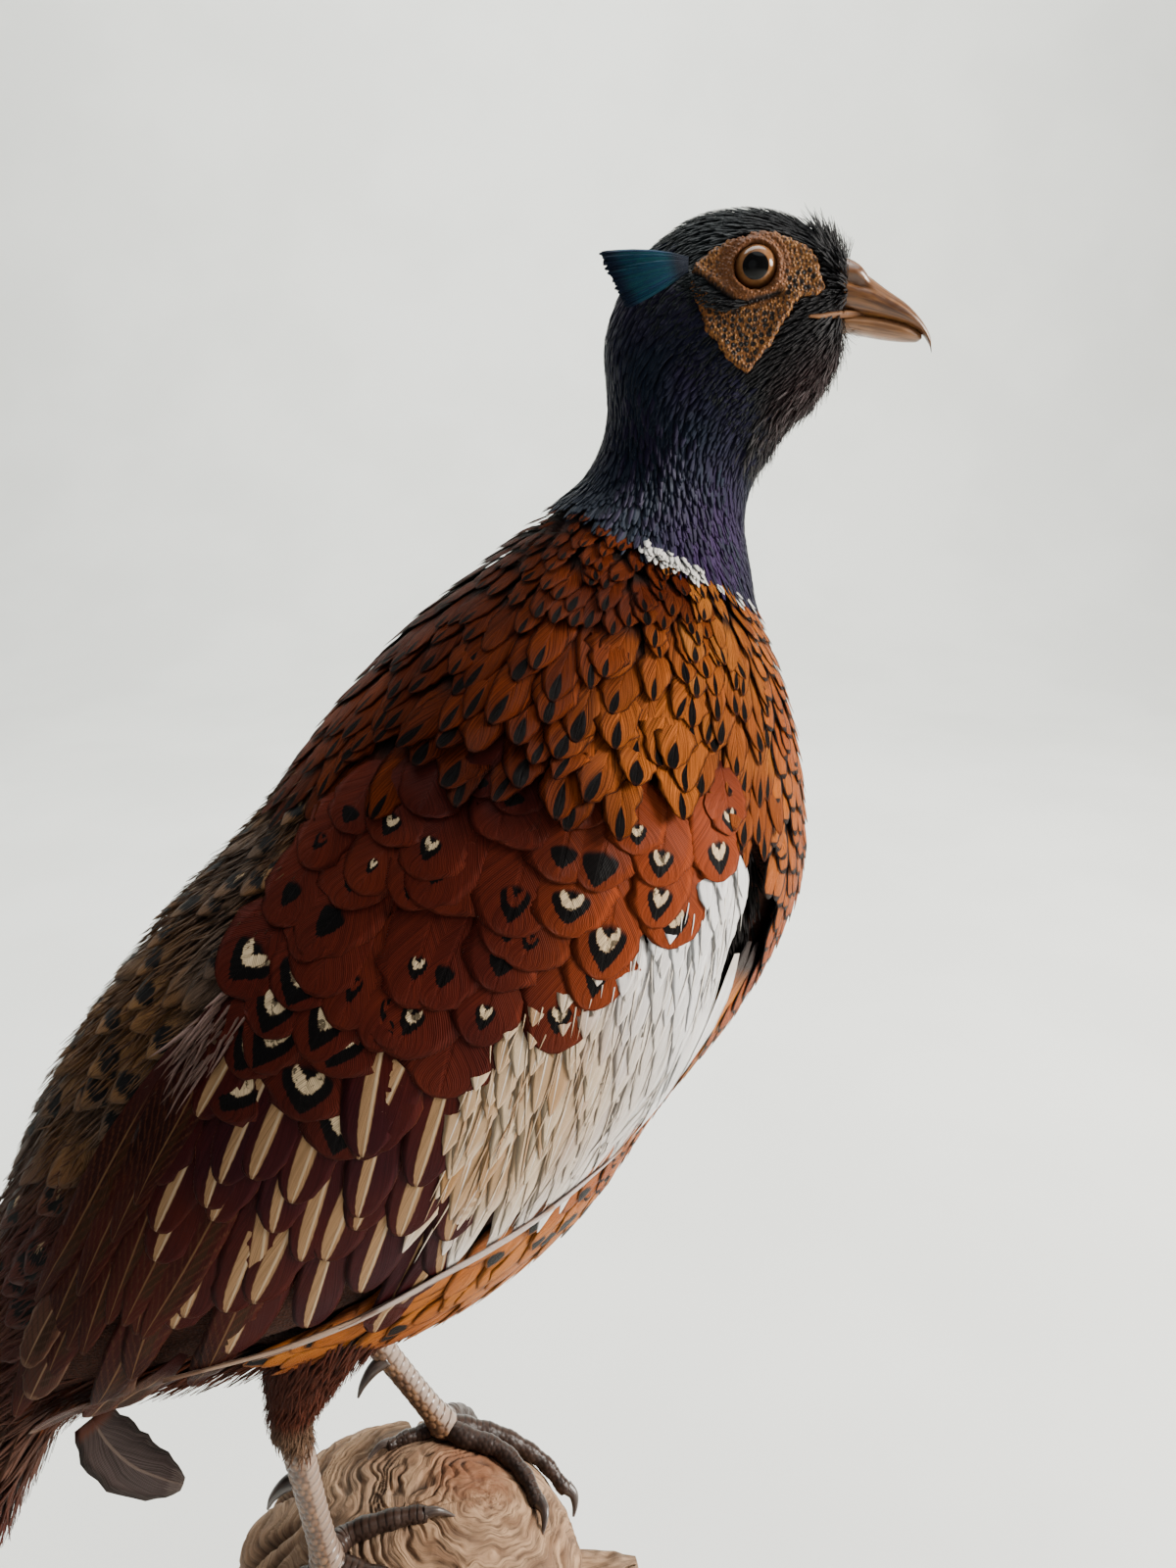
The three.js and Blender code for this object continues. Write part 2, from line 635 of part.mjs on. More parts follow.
// Driftwood stump and its splintered stub.
add("driftwood", stumpSolid(), colours.wood, 0.9);
const stubRows = [
  [36, -14, 246, 13, 14],
  [54, -18, 250, 9, 9],
  [63, -20, 252.5, 6, 5.5],
  [71, -21, 253.5, 3, 2.5],
];
const stub = rodSolid(stubRows, 4, 8).subtract(stumpGrown);
add("driftwood_stub", stub, colours.wood, 0.9);

export default group;
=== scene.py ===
# A cock pheasant as a museum mount on a driftwood stump: skin, plumage, horn, glass and wood.
import json
import math
import bpy
import numpy as np
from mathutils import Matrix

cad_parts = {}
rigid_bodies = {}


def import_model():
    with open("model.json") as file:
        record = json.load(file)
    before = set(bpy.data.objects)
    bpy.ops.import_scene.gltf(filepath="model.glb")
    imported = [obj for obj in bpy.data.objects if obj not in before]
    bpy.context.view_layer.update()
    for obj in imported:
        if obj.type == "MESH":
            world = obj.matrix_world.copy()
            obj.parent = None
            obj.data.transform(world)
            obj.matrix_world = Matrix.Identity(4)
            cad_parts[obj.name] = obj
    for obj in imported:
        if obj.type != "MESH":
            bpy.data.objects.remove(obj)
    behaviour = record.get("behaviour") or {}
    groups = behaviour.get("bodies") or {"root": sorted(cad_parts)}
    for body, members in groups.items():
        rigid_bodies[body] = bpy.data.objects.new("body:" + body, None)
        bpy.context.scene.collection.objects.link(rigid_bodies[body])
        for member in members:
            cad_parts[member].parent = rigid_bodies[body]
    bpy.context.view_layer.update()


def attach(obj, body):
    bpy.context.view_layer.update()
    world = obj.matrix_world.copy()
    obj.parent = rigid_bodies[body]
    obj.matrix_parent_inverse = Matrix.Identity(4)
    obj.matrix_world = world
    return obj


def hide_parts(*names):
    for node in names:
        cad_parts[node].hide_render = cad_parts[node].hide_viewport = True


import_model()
mm = 0.001
perch = 300.0  # height of the knob, from which the bird's own heights are counted
circle = 2 * np.pi
sides = {"right": -1, "left": 1}
print("frame loaded")

# stations from the bill backwards: upper x, height, lower x, height, half width, share of the head's turn
bodyStations = np.array([
    [129.5, 384, 130.5, 370.5, 7, 1], [126.5, 390, 130, 362.5, 10.5, 1],
    [118.5, 395, 127.5, 355.5, 14, 1], [104.5, 398.5, 122.5, 348, 16.5, 1],
    [88, 396, 116.5, 342.5, 18, 1], [73.5, 384.5, 111.5, 335, 19, 0.93],
    [65.5, 366.5, 107.5, 327.5, 19.5, 0.8], [66, 345, 106, 317, 20, 0.55],
    [60.5, 331.5, 108.5, 303.5, 23, 0.27], [49.5, 322.5, 111, 291, 30, 0.08],
    [33, 309.5, 117.5, 270, 46, 0], [9, 291, 123.5, 243, 58, 0],
    [-14.5, 267.5, 124, 210, 65, 0], [-36.5, 240.5, 107.5, 177, 67, 0],
    [-61, 217.5, 82, 147, 66, 0], [-82.5, 193, 53, 106, 60, 0],
    [-97, 173.5, 6.5, 78.5, 52, 0], [-108, 150.5, -55, 74.5, 42, 0],
    [-120.5, 123, -95, 75, 32, 0], [-135, 89, -111.5, 55, 28, 0],
    [-150, 54, -129, 24, 25.5, 0], [-162.5, 27, -147, 4, 20, 0]])
lastStation = len(bodyStations) - 1
# folded wing in side view, wrist to tip: lower x, height, upper x, height, share of the thickness
wingStations = np.array([
    [73, 190, 85, 232, 0.45], [62, 162, 66, 258, 0.9], [38, 146, 30, 268, 1],
    [12, 133, 0, 254, 1], [-18, 119, -26, 234, 1], [-50, 108, -50, 200, 0.95],
    [-80, 102, -76, 168, 0.85], [-103, 93, -100, 138, 0.7], [-120, 84, -121, 106, 0.5]])
posture = dict(neckAxisX=82.0, headTurn=-28.0, wingThickness=7.5, wingRim=1.6)


# a smooth curve through every row: the cubic whose slope at a row is half the step between its neighbours
def splineAt(rows, t):
    rows = np.asarray(rows, float)
    last = len(rows) - 1
    t = np.clip(np.asarray(t, float), 0, last)
    i = np.minimum(t.astype(int), last - 1)
    f = (t - i)[..., None]
    ends = np.vstack([2 * rows[0] - rows[1], rows, 2 * rows[-1] - rows[-2]])
    a, b, c, d = ends[i], ends[i + 1], ends[i + 2], ends[i + 3]
    return 0.5 * (2 * b + (c - a) * f + (2 * a - 5 * b + 4 * c - d) * f**2
                  + (3 * b - a - 3 * c + d) * f**3)


# a vector divided by its length
def unit(a):
    return a / np.maximum(np.linalg.norm(a, axis=-1, keepdims=True), 1e-9)


# smooth step from 0 at low to 1 at high
def ease(x, low, high):
    t = np.clip((x - low) / (high - low), 0, 1)
    return t * t * (3 - 2 * t)


# arrays side by side in a last axis
def joined(*parts):
    return np.stack(np.broadcast_arrays(*parts), -1)


# grid of places from 0 to an end and of angles round
def gridOf(end, rows, columns):
    return np.meshgrid(np.linspace(0, end, rows), np.linspace(0, circle, columns, endpoint=False),
                       indexing="ij")


# distances run along a line of points
def runOf(line):
    return np.append(0, np.cumsum(np.linalg.norm(np.diff(line, axis=0), axis=1)))


# turns a point about the neck's upright line by a share of the head's turn
def turned(x, y, z, share=1.0):
    angle = np.radians(posture["headTurn"]) * share
    dx = x - posture["neckAxisX"]
    return joined(posture["neckAxisX"] + dx * np.cos(angle) - y * np.sin(angle),
                  dx * np.sin(angle) + y * np.cos(angle), z)


# a point of the body: u counts stations, v goes round from the back over the bird's left side
def bodyAt(u, v, turning=1.0):
    ux, uz, lx, lz, half, turn = np.moveaxis(splineAt(bodyStations, u), -1, 0)
    share = 0.5 + 0.5 * np.cos(v)
    return turned(lx + (ux - lx) * share, half * np.sin(v), lz + (uz - lz) * share + perch, turn * turning)


# x and the height over the perch of a place, with the head turned or straight
def sideView(u, v, turning=1.0):
    p = bodyAt(u, v, turning)
    return p[..., 0], p[..., 2] - perch


tableCorner = (-140.0, 60.0)


# how far the wing stands off the body, tabled over the side view on 1 mm squares: a half round
# across the wing, whose place between wrist and tip is found by halving
def wingTable():
    x, h = np.meshgrid(tableCorner[0] + np.arange(241.0), tableCorner[1] + np.arange(231.0), indexing="ij")
    wingAcross = lambda t: np.moveaxis(splineAt(wingStations, t), -1, 0)

    def sideOf(t):
        lx, lz, ux, uz, thick = wingAcross(t)
        return (ux - lx) * (h - lz) - (uz - lz) * (x - lx) > 0
    low, high = np.zeros_like(x), np.full_like(x, len(wingStations) - 1.0)
    start = sideOf(low)
    inside = start != sideOf(high)
    for k in range(18):
        middle = 0.5 * (low + high)
        same = sideOf(middle) == start
        low, high = np.where(same, middle, low), np.where(same, high, middle)
    lx, lz, ux, uz, thick = wingAcross(0.5 * (low + high))
    b = ((x - lx) * (ux - lx) + (h - lz) * (uz - lz)) / ((ux - lx)**2 + (uz - lz)**2)
    dome = np.sqrt(np.clip(1 - (2 * b - 1)**2, 0, 1))
    wing = posture["wingRim"] + (posture["wingThickness"] - posture["wingRim"]) * dome * thick * inside
    coat = wing * (inside & (b > -0.01) & (b < 1.01))
    for k in range(3):  # soften both tables by a millimetre or two
        for table in (wing, coat):
            table[1:-1, 1:-1] = (table[1:-1, 1:-1] * 2 + table[:-2, 1:-1] + table[2:, 1:-1]
                                 + table[1:-1, :-2] + table[1:-1, 2:]) / 6
    return wing, coat


wingStandOff, coatStandOff = wingTable()


# the body with a share of a table's value added at its sides, blended between the four nearest squares
def standingOff(table, u, v, share=1.0):
    p = bodyAt(u, v)
    i = np.clip(p[..., 0] - tableCorner[0], 0, table.shape[0] - 1.001)
    j = np.clip(p[..., 2] - perch - tableCorner[1], 0, table.shape[1] - 1.001)
    i0, j0 = i.astype(int), j.astype(int)
    fi, fj = i - i0, j - j0
    off = (table[i0, j0] * (1 - fi) * (1 - fj) + table[i0 + 1, j0] * fi * (1 - fj)
           + table[i0, j0 + 1] * (1 - fi) * fj + table[i0 + 1, j0 + 1] * fi * fj)
    p[..., 1] += np.sign(np.sin(v)) * off * share
    return p


# the body with the folded wings standing off it
def coatAt(u, v):
    return standingOff(coatStandOff, u, v, ease(u, 9.5, 10.5))


# the wing's own surface, which stays off the body past the wing's edges too
def wingAt(u, v):
    return standingOff(wingStandOff, u, v)


# a round rod along rows of x, y, z, width radius, thickness radius; t counts rows, angle goes round
def rodAt(rows, t, angle, across=(0, 1, 0)):
    rows = np.asarray(rows, float)
    row = splineAt(rows, t)
    along = unit(splineAt(rows[:, :3], t + 0.03) - splineAt(rows[:, :3], t - 0.03))
    normal = unit(np.cross(along, np.broadcast_to(np.array(across, float), along.shape)))
    side = unit(np.cross(normal, along))
    radii = np.maximum(row[..., 3:5], 0.2)
    return (row[..., :3] + side * (radii[..., 0] * np.cos(angle))[..., None]
            + normal * (radii[..., 1] * np.sin(angle))[..., None])


# mesh from points in mm and blocks of equal-sided faces; turned right way out by its signed volume
def putMesh(name, points, blocks, material, maps=None, values=None, hides=(), smooth=None):
    points = np.ascontiguousarray(points.reshape(-1, 3))
    p = points[blocks[0]]
    volume = np.einsum("ij,ij->", np.cross(p[:, 0], p[:, 1]) + np.cross(p[:, 1], p[:, 2])
                       + np.cross(p[:, 2], p[:, -1]), p[:, 0] + p[:, 2])
    if volume < 0:
        blocks = [b[:, ::-1] for b in blocks]
    loops = np.concatenate([b.ravel() for b in blocks]).astype(np.int32)
    sizes = np.concatenate([np.full(len(b), b.shape[1]) for b in blocks])
    starts = np.concatenate([[0], np.cumsum(sizes)[:-1]]).astype(np.int32)
    mesh = bpy.data.meshes.new(name)
    mesh.vertices.add(len(points))
    mesh.vertices.foreach_set("co", (points * mm).astype(np.float32).ravel())
    mesh.loops.add(len(loops))
    mesh.loops.foreach_set("vertex_index", loops)
    mesh.polygons.add(len(sizes))
    mesh.polygons.foreach_set("loop_start", starts)
    mesh.polygons.foreach_set("use_smooth", np.ones(len(sizes), bool) if smooth is None else smooth)
    mesh.update(calc_edges=True)
    for key, uv in (maps or {}).items():
        mesh.uv_layers.new(name=key).data.foreach_set("uv",
                                                      uv.reshape(-1, 2)[loops].astype(np.float32).ravel())
    for key, value in (values or {}).items():
        mesh.attributes.new(key, "FLOAT", "POINT").data.foreach_set("value", value.ravel().astype(np.float32))
    mesh.materials.append(material)
    piece = bpy.data.objects.new(name, mesh)
    bpy.context.scene.collection.objects.link(piece)
    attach(piece, "root")
    if hides:
        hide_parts(*hides)
    return piece


# quads of a grid that closes round its second direction
def tubeFaces(rows, columns):
    first = np.arange(rows - 1)[:, None] * columns
    a = (first + np.arange(columns)).ravel()
    b = (first + (np.arange(columns) + 1) % columns).ravel()
    return joined(a, b, b + columns, a + columns)


# a closed tube from a grid of points (rows, columns, 3), each end drawn together in a fan to its middle
def putTube(name, grid, material, maps=None, values=None, hides=()):
    rows, columns = grid.shape[:2]

    def withMiddles(a):  # the two middles take the mean of their ring
        return np.vstack([a.reshape(rows * columns, -1), a[:1].reshape(columns, -1).mean(0)[None],
                          a[-1:].reshape(columns, -1).mean(0)[None]])
    j = np.arange(columns)
    k = (j + 1) % columns
    last = (rows - 1) * columns
    fans = np.vstack([joined(rows * columns, k, j), joined(rows * columns + 1, last + j, last + k)])
    maps = {key: withMiddles(a) for key, a in (maps or {}).items()}
    values = {key: withMiddles(a[..., None]) for key, a in (values or {}).items()}
    return putMesh(name, withMiddles(grid), [tubeFaces(rows, columns), fans], material, maps, values,
                   hides)


# point, the two slopes and the outward normal of a surface
def slopesAt(surface, u, v):
    step = 0.004
    du = (surface(u + step, v) - surface(u - step, v)) / (2 * step)
    dv = (surface(u, v + step) - surface(u, v - step)) / (2 * step)
    return surface(u, v), du, dv, unit(np.cross(dv, du))


# the steps in u and v that move along the surface by a given vector
def stepFor(du, dv, move):
    a, b, c = (du * du).sum(-1), (du * dv).sum(-1), (dv * dv).sum(-1)
    e, f = (du * move).sum(-1), (dv * move).sum(-1)
    whole = np.maximum(a * c - b * b, 1e-6)
    return (c * e - b * f) / whole, (a * f - b * e) / whole


# a vector laid flat on the surface
def flattened(a, n):
    return unit(a - (a * n).sum(-1, keepdims=True) * n)


# rows along a vane, closer together towards the tip
def rowsAlong(rows):
    return 1 - (1 - np.linspace(0, 1, rows))**1.6


# half width of a vane along its length: a sine up to its widest place, then a rounded or pointed end
def vaneOutline(s, shape):
    widest = shape["widest"]
    rise = 0.25 + 0.75 * np.sin(0.5 * np.pi * np.clip(s / widest, 0, 1))
    fall = 1 - 0.97 * np.clip((s - widest) / (1 - widest), 0, 1)**shape["tipBlunt"]
    return rise * np.clip(fall, 0.02, 1)**shape["tipRound"]


# closed vanes from top grids (count, rows, columns, 3) and one line of points under each
def putVanes(name, top, under, roots, tones, material, hides=()):
    count, rows, columns = top.shape[:3]
    ring = columns + 1
    points = np.concatenate([top, under[:, :, None]], 2)
    start = (np.arange(count) * rows * ring)[:, None, None]
    caps = np.stack([np.arange(ring)[::-1], (rows - 1) * ring + np.arange(ring)])
    blocks = [(start + tubeFaces(rows, ring)).reshape(-1, 4), (start + caps).reshape(-1, ring)]
    vane = joined(np.append(np.linspace(0, 1, columns), 0.5)[None, None, :], rowsAlong(rows)[None, :, None])
    vane = np.broadcast_to(vane, (count, rows, ring, 2))
    patch = np.clip(roots[:, None, None, :] + 0.003 * (vane - 0.5), 0, 1)
    values = {key: np.repeat(a, rows * ring) for key, a in tones.items()}
    # only the upper side is smooth, which keeps the vane's outline crisp
    upper = np.tile(np.arange(ring) < columns - 1, (rows - 1) * count)
    return putMesh(name, points, blocks, material, {"OFBake": patch, "vane": vane}, values, hides,
                   np.concatenate([upper, np.zeros(2 * count, bool)]))


# lengths in mm and angles in degrees of a vane, for what a tract doesn't say
plainVane = dict(rows=7, columns=5, vary=0.12, narrows=1.0, swing=8, curl=6, rootLift=-2.0, tipLift=0.3,
                 liftPower=1.3, jitter=0.25, flare=0.0, fray=0.0, hug=True, arch=0.08, thick=0.15,
                 widest=0.55, tipBlunt=2.4, tipRound=0.6)


# lays vanes on a surface from their roots (u, v), each heading along aim and bending with the surface;
# height along a vane = root's lift + (tip's - root's) * share^power, plus its own jitter and flare
def layVanes(name, surface, u, v, aim, shape, look, seed, size=None, raised=0.0, extra=None):
    rng = np.random.default_rng(seed)
    count = len(u)
    shape = {**plainVane, **shape}
    rows, spread = shape["rows"], shape["vary"]
    s = rowsAlong(rows)
    size = np.ones(count) if size is None else size
    length = shape["length"] * size * (1 + spread * rng.uniform(-1, 1, count))
    width = shape["width"] * size**shape["narrows"] * (1 + spread * rng.uniform(-1, 1, count))
    swing = np.radians(shape["swing"]) * rng.normal(0, 1, count)
    curl = np.radians(shape["curl"]) * rng.normal(0, 1, count)
    roots = joined(u / lastStation, (v % circle) / circle)
    lift = shape["rootLift"] + (shape["tipLift"] - shape["rootLift"]) * s**shape["liftPower"]
    jitter = shape["jitter"] * rng.normal(0, 1, count)
    flare = shape["flare"] * rng.uniform(0, 1, count)**2 + raised
    q = np.linspace(-1, 1, shape["columns"])
    outline = vaneOutline(s, shape)
    fray = shape["fray"] * rng.normal(0, 1, (count, rows, len(q))) * (np.abs(q) > 0.99)
    tops, unders = [], []
    heading = aim
    inside = lambda u: np.clip(u, 0.01, lastStation - 0.01)
    for k in range(rows):
        p, du, dv, n = slopesAt(surface, u, v)
        heading = flattened(heading, n)
        turn = swing if k == 0 else curl * (s[k] - s[k - 1])
        heading = unit(heading * np.cos(turn)[:, None] + np.cross(n, heading) * np.sin(turn)[:, None])
        side = np.cross(n, heading)
        height = lift[k] + jitter * s[k] + flare * s[k]**2
        half = 0.5 * width * outline[k]
        out = side[:, None] * ((1 + fray[:, k]) * q[None, :] * half[:, None])[..., None]
        base = p[:, None] + out
        if shape["hug"]:
            su, sv = stepFor(du[:, None], dv[:, None], out)
            base = surface(inside(u[:, None] + su), v[:, None] + sv)
        dip = shape["arch"] * half[:, None] * q[None, :]**2
        tops.append(base + n[:, None] * (height[:, None] - dip)[..., None])
        unders.append(p + n * (height - shape["thick"] - shape["arch"] * 0.5 * half)[:, None])
        if k < rows - 1:
            su, sv = stepFor(du, dv, heading * (length * (s[k + 1] - s[k]))[:, None])
            u, v = inside(u + su), v + sv
    tones = {"tone": rng.uniform(0, 1, count), "kind": rng.uniform(0, 1, count), **(extra or {})}
    piece = putVanes(name, np.stack(tops, 1), np.stack(unders, 1), roots, tones,
                     featherMaterial(name + "Vane", look))
    print(name, count, "vanes,", len(piece.data.loops) - 2 * len(piece.data.polygons), "triangles")


# staggered rows of places on a surface: rows a gap apart along the line at a given angle, then round by arc
def latticeOn(surface, uFrom, uTo, rowGap, sideGap, seed, lineAt=90, jitter=0.28):
    rng = np.random.default_rng(seed)
    fine = np.linspace(uFrom, uTo, 300)
    run = runOf(surface(fine, np.full(300, np.radians(lineAt))))
    angles = np.linspace(0, circle, 361)
    us, vs = [], []
    for i, u0 in enumerate(np.interp(np.arange(0.5 * rowGap, run[-1], rowGap), run, fine)):
        arc = runOf(surface(np.full(361, u0), angles))
        number = max(int(arc[-1] / sideGap), 3)
        place = (np.arange(number) + 0.5 * (i % 2) + jitter * rng.uniform(-1, 1, number)) / number
        vs.append(np.interp((place % 1) * arc[-1], arc, angles))
        us.append(u0 + jitter * rng.uniform(-1, 1, number) * (rowGap / max(run[-1], 1)) * (uTo - uFrom))
    return np.concatenate(us), np.concatenate(vs)


# degrees from the back, the same on both sides of the body
def foldOf(v):
    d = np.degrees(v) % 360
    return np.where(d > 180, 360 - d, d)


# True for points inside a closed outline: an odd number of its edges lie to the right
def within(x, y, outline):
    inside = np.zeros(np.shape(x), bool)
    points = np.array(outline, float)
    for (ax, ay), (bx, by) in zip(points, np.roll(points, -1, 0)):
        if ay != by:
            inside ^= ((ay > y) != (by > y)) & (x < (bx - ax) * (y - ay) / (by - ay) + ax)
    return inside


# rule for the lie of feathers: backwards along the body, turned towards the belly by some degrees
def backwards(down=0.0):
    def aim(u, v):
        p, du, dv, n = slopesAt(bodyAt, u, v)
        toBelly = unit(dv) * np.where(np.sin(v) > 0, 1.0, -1.0)[..., None]
        return unit(unit(du) * math.cos(math.radians(down)) + toBelly * math.sin(math.radians(down)))
    return aim


# lie of the wing's feathers, in degrees below straight back: steep at the wrist, flatter behind and
# along the wing's lower edge
def wingFlow(u, v):
    x, h = sideView(u, v)
    lower = np.interp(x, wingStations[::-1, 0], wingStations[::-1, 1])
    down = np.radians(72 + 0.12 * x - 36 * np.exp(-((h - lower - 2) / 12)**2))
    return joined(-np.cos(down), 0.0, -np.sin(down))


# moves places back against the lie of the feathers, so that the tips come to where the places were
def rootsBehind(surface, u, v, aim, distance):
    for k in range(4):
        p, du, dv, n = slopesAt(surface, u, v)
        su, sv = stepFor(du, dv, flattened(aim(u, v), n) * -(distance / 4)[:, None])
        u, v = np.clip(u + su, 0.02, lastStation - 0.02), v + sv
    return u, v


# one output of a shader node, which makes Math nodes when it is added, multiplied and so on
class nodeValue:
    def __init__(self, tree, socket):
        self.tree, self.socket = tree, socket

    def __add__(self, other):
        return calc("ADD", self, other)

    def __sub__(self, other):
        return calc("SUBTRACT", self, other)

    def __rsub__(self, other):
        return calc("SUBTRACT", other, self)

    def __mul__(self, other):
        return calc("MULTIPLY", self, other)

    def __truediv__(self, other):
        return calc("DIVIDE", self, other)

    def eased(self, low, high, start=0.0, end=1.0):  # smooth step between two values
        return putNode(self.tree, "MapRange", {0: self, 1: low, 2: high, 3: start, 4: end},
                       interpolation_type="SMOOTHSTEP")

    def mixed(self, tint, factor, how="MIX"):  # this colour and another by a factor
        return putNode(self.tree, "Mix", {0: factor, 6: self, 7: tint}, 2, data_type="RGBA", blend_type=how)


# node values are linked, and everything else is set as the socket's constant
def setSockets(tree, sockets, inputs):
    for key, value in inputs.items():
        if isinstance(value, nodeValue):
            tree.links.new(value.socket, sockets[key])
        elif sockets[key].type == "RGBA":
            sockets[key].default_value = (*value, 1.0)
        else:
            sockets[key].default_value = value


# a node with its settings and inputs, held by one of its outputs
def putNode(tree, kind, inputs=None, output=0, **settings):
    node = tree.nodes.new("ShaderNode" + kind)
    for key, value in settings.items():
        setattr(node, key, value)
    setSockets(tree, node.inputs, inputs or {})
    return nodeValue(tree, node.outputs[output])


# a maths node over one, two or three terms
def calc(operation, *terms):
    tree = next(term.tree for term in terms if isinstance(term, nodeValue))
    return putNode(tree, "Math", dict(enumerate(terms)), operation=operation)


# mix of two plain colours by a factor
def between(factor, a, b):
    return putNode(factor.tree, "Mix", {0: factor, 6: a, 7: b}, 2, data_type="RGBA")


# a value kept on the mesh's points
def held(tree, name):
    return putNode(tree, "Attribute", None, "Fac", attribute_name=name)


# a UV map, stretched by two numbers
def mapped(tree, name, *stretch):
    uv = putNode(tree, "UVMap", uv_map=name)
    return putNode(tree, "Mapping", {0: uv, 3: (*stretch, 1.0)}) if stretch else uv


# layered noise of a place, about 0 to 1
def noise(vector, scale, detail=3.0, roughness=0.5):
    return putNode(vector.tree, "TexNoise", {"Vector": vector, "Scale": scale, "Detail": detail,
                                             "Roughness": roughness})


# distance to the nearest point of a flat scatter
def scattered(vector, scale, randomness):
    return putNode(vector.tree, "TexVoronoi", {"Vector": vector, "Scale": scale, "Randomness": randomness},
                   "Distance", voronoi_dimensions="2D")


# distance in metres from a place of the object given in mm
def awayFrom(tree, place):
    here = putNode(tree, "TexCoord", None, "Object")
    return putNode(tree, "VectorMath", {0: here, 1: tuple(c * mm for c in place)}, "Value",
                   operation="DISTANCE")


# a shader group of numbers: named inputs with their first values, outputs worked out by a function
def newGroup(work, **inputs):
    tree = bpy.data.node_groups.new(work.__name__, "ShaderNodeTree")
    for key, first in inputs.items():
        tree.interface.new_socket(key, in_out="INPUT", socket_type="NodeSocketFloat").default_value = first
    given = tree.nodes.new("NodeGroupInput")
    results = work(tree, *(nodeValue(tree, given.outputs[key]) for key in inputs))
    for key in results:
        tree.interface.new_socket(key, in_out="OUTPUT", socket_type="NodeSocketFloat")
    setSockets(tree, tree.nodes.new("NodeGroupOutput").inputs, results)
    return tree


# a group node in the tree, its outputs by name
def useGroup(tree, group, **inputs):
    node = putNode(tree, "Group", None, 0, node_tree=group).socket.node
    setSockets(tree, node.inputs, inputs)
    return {socket.name: nodeValue(tree, socket) for socket in node.outputs}


# an empty material and its node tree
def newMaterial(name):
    material = bpy.data.materials.new(name)
    material.use_nodes = True
    return material, material.node_tree


# sets the material's shader, with the relief as a bump: strength, depth in metres, height
def finished(material, inputs, bump):
    tree = material.node_tree
    normal = putNode(tree, "Bump", dict(zip(("Strength", "Distance", "Height"), bump)))
    setSockets(tree, tree.nodes["Principled BSDF"].inputs, {"Normal": normal, **inputs})
    return material


# a vane's own places: distance along and across it, its barbs as fine slanting lines, its shaft
def vaneDetail(tree, barbs, slant, raggedness):
    uv = mapped(tree, "vane")
    x, y = (putNode(tree, "SeparateXYZ", {0: uv}, i) for i in (0, 1))
    tone, kind = held(tree, "tone"), held(tree, "kind")
    offset = x * 2.0 - 1.0
    across = calc("ABSOLUTE", offset)
    run = y * barbs - across * slant
    place = putNode(tree, "CombineXYZ", {0: run, 1: calc("SIGN", offset) + across * 0.8, 2: tone * 60.0})
    rough = noise(place, 0.8, 2.0, 0.7)
    shift = (rough - 0.5) * raggedness
    return {"Along": y + shift, "Across": across + shift, "Offset": offset,
            "Barb": calc("SINE", run * circle) * 0.16 + rough, "Shaft": across.eased(0.02, 0.075, 1.0, 0.0),
            "Tone": tone, "Kind": kind}


# an egg-shaped mark on a vane: inner part and dark surround, both from one stretched distance
def vaneMark(tree, along, across, centre, length, width, point, rim, opened, notch):
    ds = (along - centre) / length
    dq = across / (width * calc("MAXIMUM", ds * point + 1.0, 0.15))  # narrower to the root with more point
    # an open mark has its pale part shifted towards the root, and dark only round the tip side
    moved, thin = opened * 0.55 + ds, dq * (opened * 0.12 + 1.0)
    closer = calc("SQRT", moved * moved + thin * thin) * (opened * 0.22 + 1.0)
    # a notch opens along the shaft towards the root
    wedge = ds * -0.75 - 0.30 - dq
    inner = closer.eased(0.88, 1.02, 1.0, 0.0) * (1.0 - wedge.eased(-0.05, 0.08) * notch)
    reach = calc("SQRT", ds * ds + dq * dq) - rim
    rootward = (ds - dq * 0.35).eased(-1.45, -0.95)
    return {"Inner": inner,
            "Outer": reach.eased(0.9, 1.02, 1.0, 0.0) * calc("MAXIMUM", rootward, 1.0 - opened)}


# broad mottling over the body and fine grain, from the place on the object
def mottle(tree, size, fine):
    place = putNode(tree, "TexCoord", None, "Object")
    return {"Broad": noise(place, size).eased(0.35, 0.65), "Grain": noise(place, fine)}


vaneGroup = newGroup(vaneDetail, Barbs=40.0, Slant=6.0, Raggedness=0.06)
markGroup = newGroup(vaneMark, Along=0.5, Across=0.0, Centre=0.8, Length=0.1, Width=0.4, Point=0.0, Rim=0.5,
                     Open=0.0, Notch=0.0)
mottleGroup = newGroup(mottle, Size=20.0, Fine=400.0)
black = (0.004, 0.003, 0.003)
# root: colour and end share of the painted shade that darkens each vane towards its covered root
plainLook = dict(barbs=40.0, slant=8.0, ragged=0.06, patch=18.0, barbDepth=0.45, rough=0.55, metallic=0.0,
                 specular=0.12, sheen=0.02, bump=0.5, bumpDepth=0.0004, shaftStrength=0.8,
                 root=((0.02, 0.012, 0.01), 0.5))
plainMark = dict(shift=0.04, grow=0.1, point=0.0, rim=0.0, open=0.0, notched=0.0, share=1.0, innerShare=1.0,
                 placed=False, colour=black)


